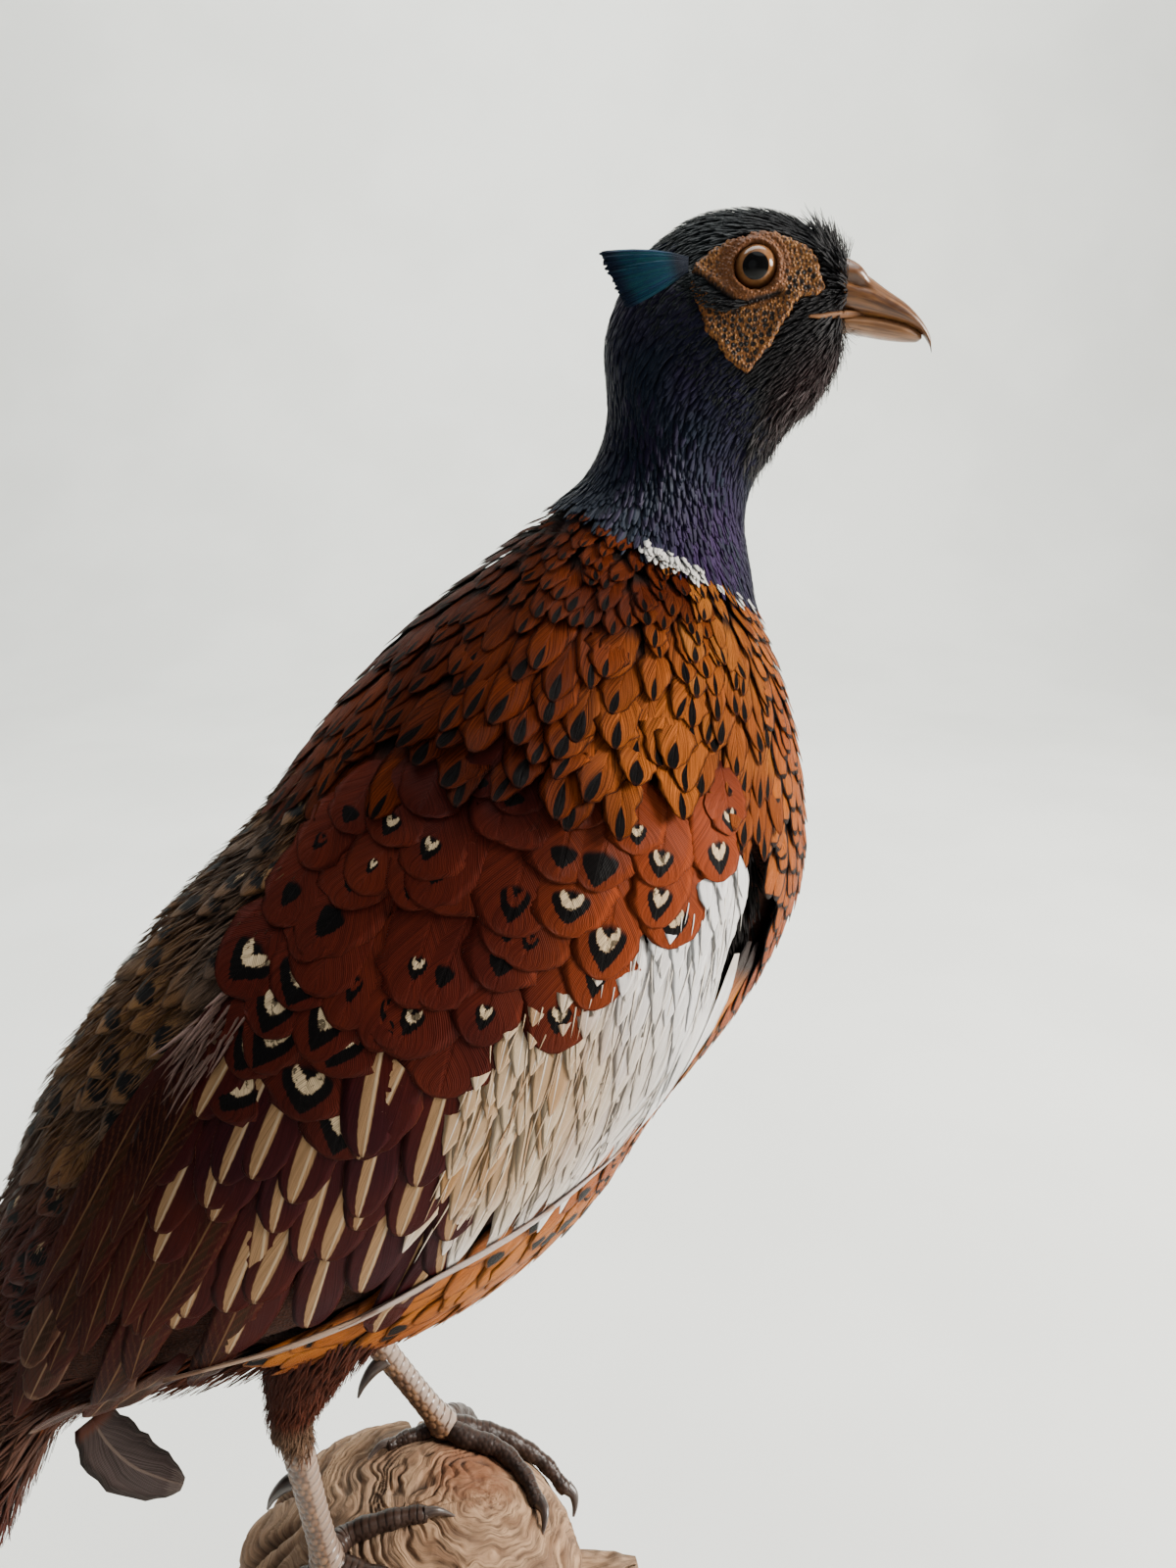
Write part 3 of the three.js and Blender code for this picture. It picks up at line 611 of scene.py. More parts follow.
# lays a feather's mark over its ground: dark surround, then the pale or dark middle
def marked(base, vane, grain, mark):
    tree = base.tree
    mark = {**plainMark, **mark}
    tone, kind, length = vane["Tone"], vane["Kind"], mark["length"]
    width = tone * mark["grow"] + mark["width"]
    paleShare = calc("LESS_THAN", tone, mark["innerShare"])
    if mark["placed"]:  # size and paleness of each feather's mark are set where it grows
        grown, paleShare = held(tree, "markSize"), held(tree, "markPale")
        length, width = grown * length, width * grown
    parts = useGroup(tree, markGroup, Along=vane["Along"], Across=vane["Across"], Length=length, Width=width,
                     Centre=kind * mark["shift"] + mark["centre"], Point=mark["point"], Rim=mark["rim"],
                     Open=mark["open"], Notch=calc("GREATER_THAN", kind, 1 - mark["notched"]))
    shown = calc("LESS_THAN", kind, mark["share"])
    middle, dark = mark["colour"], parts["Outer"]
    if mark["placed"]:  # a mark without its pale part is a dark crescent or a dark spot
        hollow = calc("MAXIMUM", paleShare, calc("LESS_THAN", tone, 0.45))
        dark = dark * (1.0 - parts["Inner"] * hollow)
    if "surround" in mark:
        base = base.mixed(mark["surround"], dark * shown)
    if "specks" in mark:
        middle = between(grain.eased(0.56, 0.6) * mark["specks"], middle, mark["surround"])
    return base.mixed(middle, parts["Inner"] * shown * paleShare)


# a feather material: ground colours, barbs, then stripe, mark, bars, edge and shaft, and painted shade that
# darkens the vane towards its root, where the vanes above cover it
def featherMaterial(name, look):
    material, tree = newMaterial(name)
    look = {**plainLook, **look}
    vane = useGroup(tree, vaneGroup, Barbs=look["barbs"], Slant=look["slant"], Raggedness=look["ragged"])
    along, across, offset, barb, shaft, tone, kind = vane.values()
    mottling = useGroup(tree, mottleGroup, Size=look["patch"])
    base = between(tone, look["ground"], look["second"])
    if "third" in look:
        base = base.mixed(look["third"], mottling["Broad"])
    if "far" in look:  # another colour towards one place of the body: colour, centre, radius
        tint, middle, radius = look["far"]
        if "farSecond" in look:
            tint = between(kind, tint, look["farSecond"])
        away = awayFrom(tree, middle) + kind * (0.1 * radius * mm)
        base = base.mixed(tint, away.eased(0.45 * radius * mm, radius * mm, 1.0, 0.0))
    if "tip" in look:
        tint, start = look["tip"]
        base = base.mixed(tint, along.eased(start, min(start + 0.18, 1.0)))
    if "stripe" in look:  # a pale lengthwise patch on one side of the shaft
        tint, middle, half, start, end = look["stripe"]
        near = calc("ABSOLUTE", offset - middle) / along.eased(start, 1.0, 0.55, 1.0)
        near = near * (tone * 0.6 + 0.75) + (barb * 0.10 - 0.05)
        base = base.mixed(tint, near.eased(half * 0.85, half, 1.0, 0.0) * along.eased(start, start + 0.06)
                          * along.eased(end - 0.05, end, 1.0, 0.0))
    if "bars" in look:
        tint, count, duty, slope = look["bars"]
        base = base.mixed(tint,
                          calc("SINE", (along * count + across * slope) * circle).eased(duty, duty + 0.3))
    if "mark" in look:
        base = marked(base, vane, mottling["Grain"], look["mark"])
    if "edge" in look:
        tint, start, strength = look["edge"]
        rim = calc("MAXIMUM", across, along.eased(0.7, 1.02))
        base = base.mixed(tint, rim.eased(start, min(start + 0.07, 1.1)) * strength)
    depth = look["barbDepth"]
    base = base.mixed(barb.eased(0.25, 0.75, 1 - depth, 1 + 0.25 * depth), 1.0, "MULTIPLY")
    if "shaft" in look:
        base = base.mixed(look["shaft"], shaft * look["shaftStrength"])
    # painted shade: the root colour darkens the first part of the vane, where its neighbours overlap it
    rootShadeTint, rootShadeEnd = look["root"]
    base = base.mixed(rootShadeTint, along.eased(rootShadeEnd * 0.4, rootShadeEnd, 1.0, 0.0))
    rough = look["rough"]
    return finished(material, {
        "Base Color": base, "Roughness": barb.eased(0.2, 0.8, rough + 0.12, rough - 0.08),
        "Metallic": look["metallic"], "Specular IOR Level": look["specular"], "Sheen Weight": look["sheen"],
        "Sheen Roughness": 0.4}, (look["bump"], look["bumpDepth"], barb + shaft * 0.8))


stage = dict(width=14.0, front=-6.0, bend=2.2, bendRadius=1.2, top=6.0, sky=(0.93, 0.96, 1.0),
             skyStrength=0.16,
             # place, aim, size, power, colour
             lamps={"key": ((2.15, -1.05, 1.35), (0.0, 0.0, 0.5), 1.0, 172, (1.0, 0.95, 0.88)),
                    "sky": ((0.3, -0.4, 2.6), (0.0, 0.0, 0.4), 2.2, 16, (0.95, 0.98, 1.0)),
                    "fill": ((-1.7, -1.8, 1.1), (0.0, 0.0, 0.5), 2.0, 3, (0.92, 0.96, 1.0)),
                    "back": ((0.2, 0.9, 2.7), (0.9, 3.1, 0.8), 2.6, 152, (0.98, 1.0, 0.97))},
             eye=(-0.05355, -0.31198, 0.650), lens=27, sensor=36, tilt=72, turn=-20)


# pale floor that sweeps up behind in a quarter circle, soft lights, camera
def makeStage():
    linked = bpy.context.scene.collection.objects
    arc = np.radians(np.linspace(0, 90, 24))
    bend, radius, turn = stage["bend"], stage["bendRadius"], math.radians(stage["turn"])
    y = np.concatenate([[stage["front"]], bend + radius * np.sin(arc), [bend + radius]])[:, None]
    z = np.concatenate([[0.0], radius * (1 - np.cos(arc)), [stage["top"]]])[:, None]
    x = np.array([-0.5, 0.5]) * stage["width"]
    points = joined(x * math.cos(turn) - y * math.sin(turn), x * math.sin(turn) + y * math.cos(turn), z)
    i = np.arange(len(y) - 1) * 2
    mesh = bpy.data.meshes.new("floor")
    mesh.from_pydata(points.reshape(-1, 3).tolist(), [], joined(i, i + 1, i + 3, i + 2).tolist())
    mesh.polygons.foreach_set("use_smooth", np.ones(len(mesh.polygons), bool))
    floor = bpy.data.objects.new("floor", mesh)
    material, tree = newMaterial("paleFloor")
    mottling = useGroup(tree, mottleGroup, Size=3.0, Fine=60.0)
    tone = between(mottling["Broad"], (0.80, 0.81, 0.775), (0.85, 0.86, 0.825))
    mesh.materials.append(finished(material, {"Base Color": tone, "Roughness": 0.85},
                                   (0.1, 0.001, mottling["Grain"])))
    linked.link(floor)

    world = bpy.data.worlds.new("softRoom")
    world.use_nodes = True
    setSockets(world.node_tree, world.node_tree.nodes["Background"].inputs,
               {0: stage["sky"], 1: stage["skyStrength"]})
    bpy.context.scene.world = world
    for name, (place, aim, size, power, tint) in stage["lamps"].items():
        light = bpy.data.lights.new(name, "AREA")
        light.shape = "DISK"
        light.size, light.energy, light.color = size, power, tint
        lamp = bpy.data.objects.new(name, light)
        lamp.location = place
        dx, dy, dz = np.array(place) - np.array(aim)
        lamp.rotation_euler = (math.atan2(math.hypot(dx, dy), dz), 0, math.atan2(dx, -dy))
        linked.link(lamp)

    camera = bpy.data.cameras.new("camera")
    camera.lens, camera.sensor_width, camera.clip_start = stage["lens"], stage["sensor"], 0.01
    view = bpy.data.objects.new("camera", camera)
    view.location = stage["eye"]
    view.rotation_euler = (math.radians(stage["tilt"]), 0, turn)
    linked.link(view)
    bpy.context.scene.camera = view
    print("stage ready")


# bare face: reach is its edge as angle from straight ahead upwards and distance from the eye
face = dict(eye=(105.8, 382.4), eyeOut=12.2, eyeRadius=5.6, end=5.6, lidRise=0.75, socket=5.5, edgeRise=0.45,
            lobes=0.22, foldDepth=1.1,
            reach=[(0, 16.4), (17, 15.0), (25, 13.2), (45, 10.6), (78, 9.3), (115, 8.3), (152, 11.2),
                   (174, 15.0), (187, 17.4), (201, 17.8), (214, 17.4), (223, 18.2), (233, 19.8), (242, 20.8),
                   (250, 22.4), (258, 23.8), (263, 24.8), (267, 26.0), (274, 23.0), (284, 19.8), (290, 17.0),
                   (299, 15.7), (311, 14.7), (321, 13.6), (330, 13.6), (336, 17.6), (343, 19.0), (350, 17.6),
                   (360, 16.4)],
            darkFold=[(90.6, 380.2), (93.5, 378.4), (97.2, 376), (100.6, 373.8), (104, 373.9), (108, 374.9),
                      (112, 376.3)])
coatDepth = dict(face=0.1, head=2.0, neck=3.2, body=5.5, gap=4.0)
# outline of the hollow before the wing, in stations and degrees from the back, where black vanes stand in as
# painted shade
shadowGap = [(11.5, 111), (11.76, 120), (12.05, 125.5), (12.25, 129), (12.45, 131), (12.65, 132),
            (12.85, 131.5), (13.1, 130), (13.25, 127), (13.0, 122), (12.79, 119), (12.5, 116.5), (12.2, 114),
            (11.9, 111.5)]


# in side view: the place, its distance from the eye, and how far inside the bare face it lies, in mm
def facePlace(u, v):
    x, h = sideView(u, v, 0.0)
    dx, dh = x - face["eye"][0], h - face["eye"][1]
    r, angle = np.hypot(dx, dh), np.arctan2(dh, dx)
    reach = np.interp(np.degrees(angle) % 360, *np.transpose(face["reach"]))
    reach = reach + 0.22 * np.sin(angle * 19) + 0.2 * np.sin(angle * 47 + 1)
    reach = reach + 0.3 * np.sin(angle * 11 + 2) * (dh < -4)
    inside = (reach - r) * np.clip(np.cos(np.radians(foldOf(v) - 75)) * 3, 0, 1)
    return x, h, r, np.where(u < face["end"], inside, -20.0)


# distance from a bent line in side view
def lineDistance(x, h, line):
    best = np.full(np.shape(x), 1e3)
    for (ax, ah), (bx, bh) in zip(line[:-1], line[1:]):
        t = np.clip(((x - ax) * (bx - ax) + (h - ah) * (bh - ah)) / ((bx - ax)**2 + (bh - ah)**2), 0, 1)
        best = np.minimum(best, np.hypot(x - ax - t * (bx - ax), h - ah - t * (bh - ah)))
    return best


# a bell: 1 in the middle, falling off by its half width
def bell(distance, half, power=2):
    return np.exp(-(distance / half)**power)


# inset of the skin under the coat, less where the face is bare, with lids, fold and lobes worked in
def skinRise(u, v):
    x, h, r, inside = facePlace(u, v)
    fold, head = foldOf(v), u < face["end"]
    bare = ease(inside, -0.6, 1.0)
    cover = coatDepth["head"] + (coatDepth["neck"] - coatDepth["head"]) * ease(u, 4.5, 6.5)
    cover = cover + (coatDepth["body"] - coatDepth["neck"]) * ease(u, 8.6, 10.5) - 2.0 * ease(u, 18.5, 20.5)
    lumps = np.sin(x * 4.3 + np.sin(h * 2.1)) * np.sin(h * 4.1 + np.sin(x * 2.3))
    worked = (face["edgeRise"] * bell(inside - 1.6, 1.8) + face["lobes"] * 0.5 * lumps * ease(r, 6.5, 9)
              - face["foldDepth"] * bell(lineDistance(x, h, face["darkFold"]), 0.8)
              + 0.7 * bell(lineDistance(x, h - 2.0, face["darkFold"]), 1.1) * (r > 6.4))
    lid = (face["lidRise"] * bell(r - 6.0, 0.9) + 0.25 * bell(r - 7.9, 0.5)
           + 0.12 * np.sin(r * 5.5) * bell(r - 8, 2.2))
    lid = lid - face["socket"] * (1 - ease(r, 4.9, 5.5))
    gap = ease(-np.hypot((u - 12.45) / 0.95, (fold - 120 - 9 * (u - 12.2)) / 6.5), -1.2, -0.6)
    return (-cover * (1 - bare) + bare * (worked * head - coatDepth["face"])
            + lid * (head & (np.abs(fold - 67) < 40)) - coatDepth["gap"] * gap)


# dark down, browner from the trunk on, mixed by the bare mask with skin of papillae, dark specks and folds
def skinMaterial():
    material, tree = newMaterial("skinAndDown")
    bare, fold, dots, zone, lids = (held(tree, key) for key in ("bare", "fold", "dots", "zone", "lids"))
    view = mapped(tree, "sideView")
    mottling = useGroup(tree, mottleGroup, Size=120.0, Fine=900.0)
    papillae = scattered(view, 105.0, 0.9).eased(0.0, 0.55, 1.0, 0.0)
    speck = scattered(mapped(tree, "sideView", 1.0, 0.55), 112.0, 0.85).eased(0.20, 0.40, 0.9, 0.0)
    spot = scattered(view, 52.0, 0.6).eased(0.25, 0.40, 1.0, 0.0)
    skin = between(mottling["Broad"], (0.230, 0.084, 0.0165), (0.37, 0.162, 0.040))
    for tint, share in (((0.145, 0.046, 0.014), lids * 0.8),
                        ((0.13, 0.045, 0.012), papillae.eased(0.05, 0.6, 0.75, 0.0)),
                        ((0.03, 0.016, 0.010), speck * (lids * -0.75 + 1.0)),
                        ((0.012, 0.008, 0.006), spot * dots), ((0.01, 0.008, 0.008), fold)):
        skin = skin.mixed(tint, share)
    down = between(zone, (0.012, 0.008, 0.012), (0.075, 0.022, 0.01)).mixed(
        (0.01, 0.006, 0.005), mottling["Grain"])
    return finished(material, {
        "Base Color": down.mixed(skin, bare), "Roughness": bare * -0.35 + 0.9, "Specular IOR Level": 0.22,
        "Subsurface Weight": 0.06, "Subsurface Radius": (0.002, 0.001, 0.0006)},
        (0.7, 0.0005, papillae * 0.8 + mottling["Grain"] * 0.5))


legs = {"right": dict(ankle=(-43, -26, 63.5), hip=(-24, -30, 112), foot=(-36, -20, -1), toes={
            "inner": [(-30, -12, -3), (-18, -12, -2), (-7, -13, -2), (-2, -14, -2)],
            "middle": [(-28, -26, -3), (-10, -35, -8), (5, -44, -16), (13, -50, -24)],
            "outer": [(-36, -28, -4), (-33, -42, -12), (-29, -53, -24), (-25, -59, -34)],
            "hind": [(-43, -17, -6), (-50, -13, -14), (-54, -11, -21)]}),
        "left": dict(ankle=(-19, 24, 56), hip=(-14, 28, 108), foot=(11.5, 22, -4), toes={
            "inner": [(18, 17, -5), (28, 9, -12), (34, -2, -15), (35.5, -12, -17)],
            "middle": [(24, 23, -6), (38, 20, -12), (49, 13, -24), (54, 5, -34)],
            "outer": [(14, 30, -8), (20, 38, -18), (26, 45, -32), (28, 48, -42)],
            "hind": [(5, 23, -6), (-2, 21, -8), (-9, 19, -9)]})}


# hip to ankle as four rows of a rod, each place a share of both ends
def thighRows(leg):
    (ax, ay, az), (hx, hy, hz) = leg["ankle"], leg["hip"]
    return np.array([[hx, hy, hz + perch, 20, 22],
                     [0.45 * hx + 0.55 * ax, 0.45 * hy + 0.55 * ay, 0.5 * (hz + az) + 4 + perch, 14, 16],
                     [0.15 * hx + 0.85 * ax, 0.15 * hy + 0.85 * ay, az + 11 + perch, 8.5, 10],
                     [ax, ay, az + perch, 6.2, 6.6]])


# one closed surface for head, neck, trunk, the wings' flesh, thighs and tail root
def makeSkin():
    u = np.concatenate([np.linspace(0, face["end"], 190, endpoint=False),
                        np.linspace(face["end"], lastStation, 110)])
    uu, vv = np.meshgrid(u, np.linspace(0, circle, 256, endpoint=False), indexing="ij")
    x, h, r, inside = facePlace(uu, vv)
    normal = slopesAt(coatAt, np.clip(uu, 0.01, lastStation - 0.01), vv)[3]
    bare = ease(inside, -0.3, 0.5)
    lower = ease(375 - h, 1.5, 3.5) + ease(x, 112, 114) * ease(h, 372, 374) * ease(384 - h, 0, 3)
    material = skinMaterial()
    wings = [f"wing_{part}_{word}" for word in sides for part in ("coverts", "secondaries", "primaries")]
    skin = putTube("skin", coatAt(uu, vv) + normal * skinRise(uu, vv)[..., None], material,
                   {"sideView": joined(x, h - perch) * 0.01},
                   {"bare": bare, "zone": ease(uu, 8.8, 9.4), "lids": (1 - ease(r, 8.0, 10.0)) * bare,
                    "fold": bell(lineDistance(x, h, face["darkFold"]), np.where(x < 101, 1.5, 0.7), 4) * bare,
                    "dots": np.clip(ease(inside, 1.2, 2.4) * lower, 0, 1) * bare},
                   ("head", "neck", "trunk", "tail_coverts", "thigh_right", "thigh_left",
                                     *wings))
    # the thighs are joined on, so that no seam shows
    for leg in legs.values():
        t, a = gridOf(3, 40, 48)
        rows = thighRows(leg)
        rows[:, 3:] -= 2.5
        zero = np.zeros(t.shape)
        limb = putTube("thigh", rodAt(rows, t, a), material, {"sideView": joined(zero, zero)},
                       {"bare": zero, "fold": zero, "dots": zero, "zone": zero + 1, "lids": zero})
        join = skin.modifiers.new("join", "BOOLEAN")
        join.object, join.operation, join.solver = limb, "UNION", "EXACT"
        bpy.context.view_layer.objects.active = skin
        bpy.ops.object.modifier_apply(modifier="join")
        bpy.data.objects.remove(limb)
    skin.data.polygons.foreach_set("use_smooth", np.ones(len(skin.data.polygons), bool))
    print("skin", len(skin.data.polygons), "faces")


# glass balls, dark pupil in an amber-brown ring
def makeEyes():
    look = dict(pupil=(0.002, 0.002, 0.002), iris=(0.27, 0.130, 0.052), streak=(0.14, 0.052, 0.017),
                rim=(0.13, 0.055, 0.022))
    material, tree = newMaterial("eyeGlass")
    view = mapped(tree, "axis")
    out = putNode(tree, "SeparateXYZ", {0: view})
    iris = between(noise(view, 24.0), look["iris"], look["streak"]).mixed(look["rim"], out.eased(0.30, 0.38))
    setSockets(tree, tree.nodes["Principled BSDF"].inputs, {
        "Base Color": between(out.eased(0.192, 0.208), look["pupil"], iris), "Roughness": 0.12,
        "Specular IOR Level": 0.2, "Coat Weight": 0.06, "Coat Roughness": 0.03})
    for word, side in sides.items():
        tilt, around = gridOf(1, 40, 48)
        tilt = 0.02 + (np.pi - 0.04) * tilt
        radius = face["eyeRadius"]
        grid = turned(face["eye"][0] + radius * np.sin(tilt) * np.cos(around),
                      side * (face["eyeOut"] + radius * np.cos(tilt)),
                      face["eye"][1] + perch + radius * np.sin(tilt) * np.sin(around))
        putTube("eyeball_" + word, grid, material, {"axis": joined(tilt / np.pi, around / circle)}, None,
                ("eye_" + word,))
    print("eyes")


# pale and dark horn mixed by streaks, then a tint that eases in over the last seventh
def hornMaterial(name, pale, dark, tipTint, gloss=0.25):
    material, tree = newMaterial(name)
    end = putNode(tree, "SeparateXYZ", {0: mapped(tree, "along")}).eased(0.86, 1.0)
    streak = noise(mapped(tree, "along", 2.0, 9.0), 1.6, 4.0)
    mottling = useGroup(tree, mottleGroup, Size=90.0, Fine=700.0)
    tone = between(streak.eased(0.35, 0.65), dark, pale).mixed(
        dark, mottling["Broad"] * 0.35).mixed(tipTint, end)
    rough = 0.6 - 1.2 * gloss
    return finished(material, {
        "Base Color": tone, "Roughness": mottling["Grain"].eased(0.3, 0.7, rough, rough + 0.16),
        "Specular IOR Level": 0.2 + 1.2 * gloss, "Coat Weight": gloss, "Coat Roughness": 0.3,
        "Subsurface Weight": 0.08, "Subsurface Radius": (0.002, 0.0012, 0.0006)},
        (0.35, 0.0003, streak + mottling["Grain"] * 0.3))


clawHorn = hornMaterial("clawHorn", (0.075, 0.052, 0.042), (0.028, 0.018, 0.014), (0.13, 0.095, 0.08))
# rows of x, top, bottom, half width; rows of the right gape's x, side, height, radii
bill = dict(upper=np.array([[124, 384.0, 371.6, 7.4], [128, 384.2, 371.4, 7.0], [133.5, 382.0, 371.0, 6.2],
                            [139.5, 378.0, 370.3, 5.1], [145, 374.4, 369.2, 4.0], [149, 370.6, 367.4, 2.7],
                            [151.6, 366.8, 364.4, 1.5], [152.4, 363.4, 362.3, 0.6]]),
            lower=np.array([[124, 372.0, 366.0, 6.4], [129, 372.2, 367.2, 6.1], [134, 372.0, 366.4, 5.3],
                            [140, 371.2, 365.4, 4.2], [145, 369.8, 364.9, 3.1], [148.2, 368.0, 364.9, 1.8],
                            [149.6, 366.9, 365.7, 0.6]]),
            gape=[[119.6, 15.3, 370.6, 0.2, 0.3], [122.4, 13.4, 370.7, 0.5, 0.6],
                  [126.0, 9.7, 371.2, 0.55, 0.9], [129.8, 6.3, 371.6, 0.55, 0.9],
                  [133.0, 4.0, 371.8, 0.4, 0.6], [135.5, 2.4, 371.6, 0.3, 0.4],
                  [138.0, 1.6, 371.2, 0.2, 0.3]])
billHorn = {"upper": hornMaterial("billHorn", (0.250, 0.104, 0.031), (0.070, 0.025, 0.008),
                                  (0.050, 0.018, 0.008)),
            "lower": hornMaterial("lowerBillHorn", (0.31, 0.150, 0.062), (0.140, 0.060, 0.022),
                                  (0.11, 0.045, 0.018))}
gapeSkin = hornMaterial("gapeSkin", (0.190, 0.082, 0.028), (0.080, 0.030, 0.010), (0.10, 0.04, 0.014), 0.0)


# horn halves with a soft nostril cover, and a thin gape
def makeBill():
    for word, material in billHorn.items():
        last = len(bill[word]) - 1
        t, a = gridOf(last, 90, 72)
        x, top, bottom, half = np.moveaxis(splineAt(bill[word], t), -1, 0)
        c, s = np.cos(a), np.sin(a)
        lift, wide = 0.5 * (top - bottom) * c, half * s
        if word == "upper":
            # a ridge along the top, the cutting edge drawn down and out over the lower half
            lift = 0.5 * (top - bottom) * np.sign(c) * np.abs(c)**0.85
            wide = half * np.sign(s) * np.abs(s)**0.9 * (1 - 0.12 * np.clip(c, 0, 1))
            fromTop = np.minimum(a, circle - a)
            swell = 1.9 * (1 - ease(np.hypot((x - 129.6) / 5.6, (fromTop - 0.72) / 0.55), 0.5, 1.1))
            out = swell - 1.3 * bell(np.hypot((x - 131.5) / 3.2, (fromTop - 1.28) / 0.13), 1)
            wide, lift = wide + s * out, lift + c * out
        putTube("mandible_" + word, turned(x, wide, 0.5 * (top + bottom) + lift + perch), material,
                {"along": joined(t / last, np.abs(a / np.pi - 1))}, None, ("bill_" + word,))
    # the gape runs back from the bill along each cheek
    for word, side in sides.items():
        t, a = gridOf(6, 48, 16)
        rod = rodAt(np.array(bill["gape"]) * [1, side, 1, 1, 1] + [0, 0, perch, 0, 0], t, a)
        putTube("gape_" + word, turned(*np.moveaxis(rod, -1, 0)), gapeSkin, {"along": joined(t / 9, a / 7)},
                None)
    print("bill")


for build in (makeStage, makeSkin, makeEyes, makeBill):
    build()


# tips of a tract fall where these outlines (station, degrees from the back) hold them
tractOutlines = {
    "mantle": [(8.9, -1), (8.9, 72), (9.3, 96), (10.3, 98), (11.1, 101), (11.45, 90), (11.6, 78), (11.7, 64),
               (11.8, 47), (12.1, 38), (12.5, 22), (12.9, -1)],
    "goldenSide": [(8.95, 66), (9.0, 114), (10.0, 117), (10.7, 120), (11.3, 118), (11.68, 112), (11.6, 98),
                   (11.3, 92), (10.6, 88), (9.6, 78)],
    "scapular": [(11.3, 100), (11.7, 104), (12.1, 99), (12.6, 96), (12.75, 87), (13.0, 82), (13.4, 78),
                 (13.9, 74), (14.3, 68), (14.7, 56), (14.85, 48), (14.3, 43), (13.7, 30), (13.0, 24),
                 (12.3, 24), (12.0, 36), (11.7, 46), (11.6, 62), (11.5, 78), (11.4, 90)],
    "whiteCovert": [(11.85, 103), (11.8, 109.5), (12.05, 111), (12.33, 113), (12.79, 115.5), (13.1, 117),
                    (13.51, 121), (14.05, 129), (14.33, 121), (14.9, 112), (15.25, 108), (15.2, 98),
                    (14.6, 88), (13.9, 79), (13.3, 78), (12.9, 82), (12.6, 92), (12.1, 97)],
    "secondary": [(13.8, 77), (14.5, 86), (15.0, 98), (15.15, 110), (15.4, 112), (15.9, 109), (16.35, 106),
                  (16.5, 84), (16.4, 66), (15.9, 58), (15.2, 48), (14.8, 46), (14.4, 66), (14.0, 72)],
    "primary": [(15.6, 52), (16.3, 62), (16.4, 84), (16.3, 104), (16.9, 101), (17.5, 98), (18.2, 92),
                (18.2, 72), (17.4, 62), (16.6, 52), (15.8, 47)]}
# the lower edge of the folded wing in side view
rimLine = np.array([(-120, 90), (-103, 99), (-90, 105), (-61, 112), (-46, 115), (-26, 121.5), (-4, 131.5),
                    (17, 139.5), (42, 151), (54, 155), (63, 166), (73, 190)])


# a tract of feathers: places on a lattice that a rule keeps, moved back from tip to root, laid from the
# front to the rear
def tract(name, surface, reach, gaps, seed, keep, aim, shape, look, lineAt=90,
          jitter=0.28, sizeOf=None, backShare=0.8, raised=None, marksOf=None):
    u, v = latticeOn(surface, *reach, *gaps, seed, lineAt, jitter)
    kept = keep(u, foldOf(v), v)
    u, v = u[kept], v[kept]
    size = np.ones(len(u)) if sizeOf is None else sizeOf(u, foldOf(v))
    su, sv = rootsBehind(surface, u, v, aim, backShare * shape["length"] * size)
    order = np.argsort(su)
    lifted = 0.0 if raised is None else raised(u, foldOf(v))[order]
    marks = None if marksOf is None else {key: a[order] for key, a in marksOf(u, v).items()}
    su, sv = su[order], sv[order]
    layVanes(name, surface, su, sv, aim(su, sv), shape, look, seed + 50, size[order], lifted, marks)


# inside any of the named outlines
def inOutline(*names):
    return lambda u, fold, v: np.any([within(u, fold, tractOutlines[name]) for name in names], 0)


# height over the wing's lower edge
def overRim(u, v):
    x, h = sideView(u, v)
    return h - np.interp(x, rimLine[:, 0], rimLine[:, 1])


# inside an outline and above the wing's lower edge by a margin that eases from front to rear
def aboveRim(name, front=1.2, rear=1.2):
    return lambda u, fold, v: (within(u, fold, tractOutlines[name])
                               & (overRim(u, v) > front + (rear - front) * ease(u, 15.1, 15.7)))


# deeper inside the bare face than the margin
def onBareFace(u, v, margin):
    return facePlace(u, v)[3] > margin


